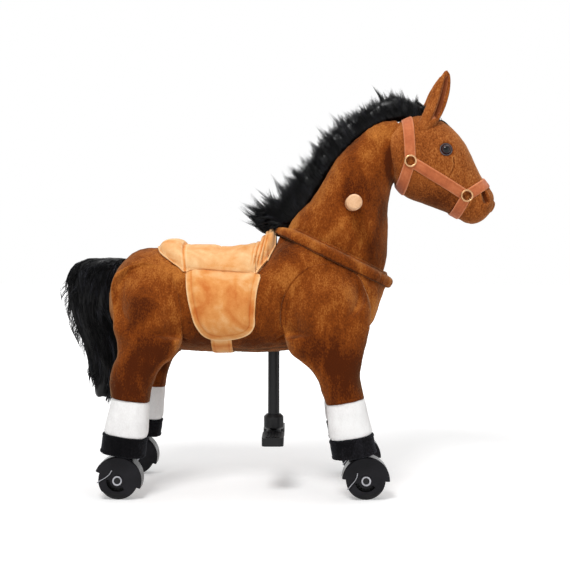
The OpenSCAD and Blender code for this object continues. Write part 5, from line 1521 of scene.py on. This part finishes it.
# Finishes of the CAD pieces that show as they are
HOOD_GLOSS_R, HOOD_LEVEL = 41.2, 0.1
FINISHES = {
    "main_frame": STEEL_PAINT, "front_shaft": STEEL_PAINT, "rear_shaft": STEEL_PAINT,
    "gait_rod": STEEL_PAINT, "neck_stem": STEEL_PAINT, "foot_bar": STEEL, "foot_post": PAINT,
    "handle_bar": WOOD,
    "halter_rings": GOLD, "eyes": EYE_GLASS, "rear_axles": STEEL, "rear_pawls": STEEL,
}
for end, axle in AXLES.items():
    hood = plastic_material(
        f"hood_{end}", (20, 20, 22), (40, 39, 43), 0.46, HOOD_GLOSS_R, (axle, AXLE_H), HOOD_LEVEL
    )
    for name, _ in SIDES:
        FINISHES[f"{end}_leg_tube_{name}"] = STEEL_PAINT
        FINISHES[f"fork_{end}_{name}"] = hood
        FINISHES[f"hub_{end}_{name}"] = PLASTIC
        FINISHES[f"tyre_{end}_{name}"] = RUBBER
for name, _ in SIDES:
    FINISHES[f"foot_rest_{name}"] = PLASTIC
    FINISHES[f"axle_front_{name}"] = STEEL
    FINISHES[f"pawl_front_{name}"] = STEEL
for name, finish in FINISHES.items():
    slots = NODES[name].data.materials
    for k in range(len(slots)):
        slots[k] = finish
    if not len(slots):
        slots.append(finish)


# Pale floor, white surroundings and soft lamps
def seen_directly(tree):
    """1 where the camera sees a surface, also in gloss or through glass"""
    path = node(tree, "ShaderNodeLightPath").outputs
    seen = maths(tree, "ADD", path["Is Camera Ray"], path["Is Glossy Ray"])
    return maths(tree, "MINIMUM", maths(tree, "ADD", seen, path["Is Transmission Ray"]), 1.0)


mat, tree, shader = material(
    "floor_paper", Roughness=0.9, Specular_IOR_Level=0.0, Emission_Color=(1, 1, 1, 1)
)
paper = ramp(tree, grain(tree, 30, 2), (0.3, (0.86, 0.86, 0.86, 1)), (0.7, (0.88, 0.88, 0.88, 1)))
tree.links.new(paper, shader.inputs["Base Color"])
# The floor glows to the camera and in gloss, weakly near the middle and fully past 1.8 m: painted light that
# whitens the far floor
spot = vector_maths(tree, "LENGTH", "Value", place(tree))
glow = node(tree, "ShaderNodeMapRange", {"Value": spot, 1: 0.7, 2: 1.8, 3: 0.3, 4: 1.0}).outputs[0]
tree.links.new(maths(tree, "MULTIPLY", seen_directly(tree), glow), shader.inputs["Emission Strength"])
paper = bpy.data.meshes.new("floor")
paper.from_pydata([(-8, -6, 0), (8, -6, 0), (8, 10, 0), (-8, 10, 0)], [], [(0, 1, 2, 3)])
paper.materials.append(mat)
floor = bpy.data.objects.new("floor", paper)
SCENE.collection.objects.link(floor)
floor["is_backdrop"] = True

world = bpy.data.worlds.new("world")
SCENE.world = world
world.use_nodes = True
tree = world.node_tree
sky = tree.nodes["Background"]
tree.links.new(maths(tree, "MULTIPLY_ADD", seen_directly(tree), 0.58, 0.42), sky.inputs["Strength"])
sky.inputs["Color"].default_value = (1, 1, 1, 1)


def lamp(name, place, aim, size, power):
    light = bpy.data.lights.new(name, "AREA")
    light.shape = "RECTANGLE"
    light.size, light.size_y = size
    light.energy = power
    obj = bpy.data.objects.new(name, light)
    obj.location = place
    obj.rotation_euler = (Vector(aim) - Vector(place)).to_track_quat("-Z", "Y").to_euler()
    SCENE.collection.objects.link(obj)


lamp("key", (-0.5, -1.5, 2.3), (0, 0, 0.4), (0.8, 0.7), 38)
lamp("top", (0.3, 0.5, 2.6), (0, 0, 0.3), (2.4, 2.0), 22)
lamp("fill", (1.9, -1.7, 0.9), (0.1, 0, 0.4), (1.2, 1.2), 6)

SCENE.view_settings.view_transform = "Standard"

bpy.context.view_layer.update()
low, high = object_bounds()
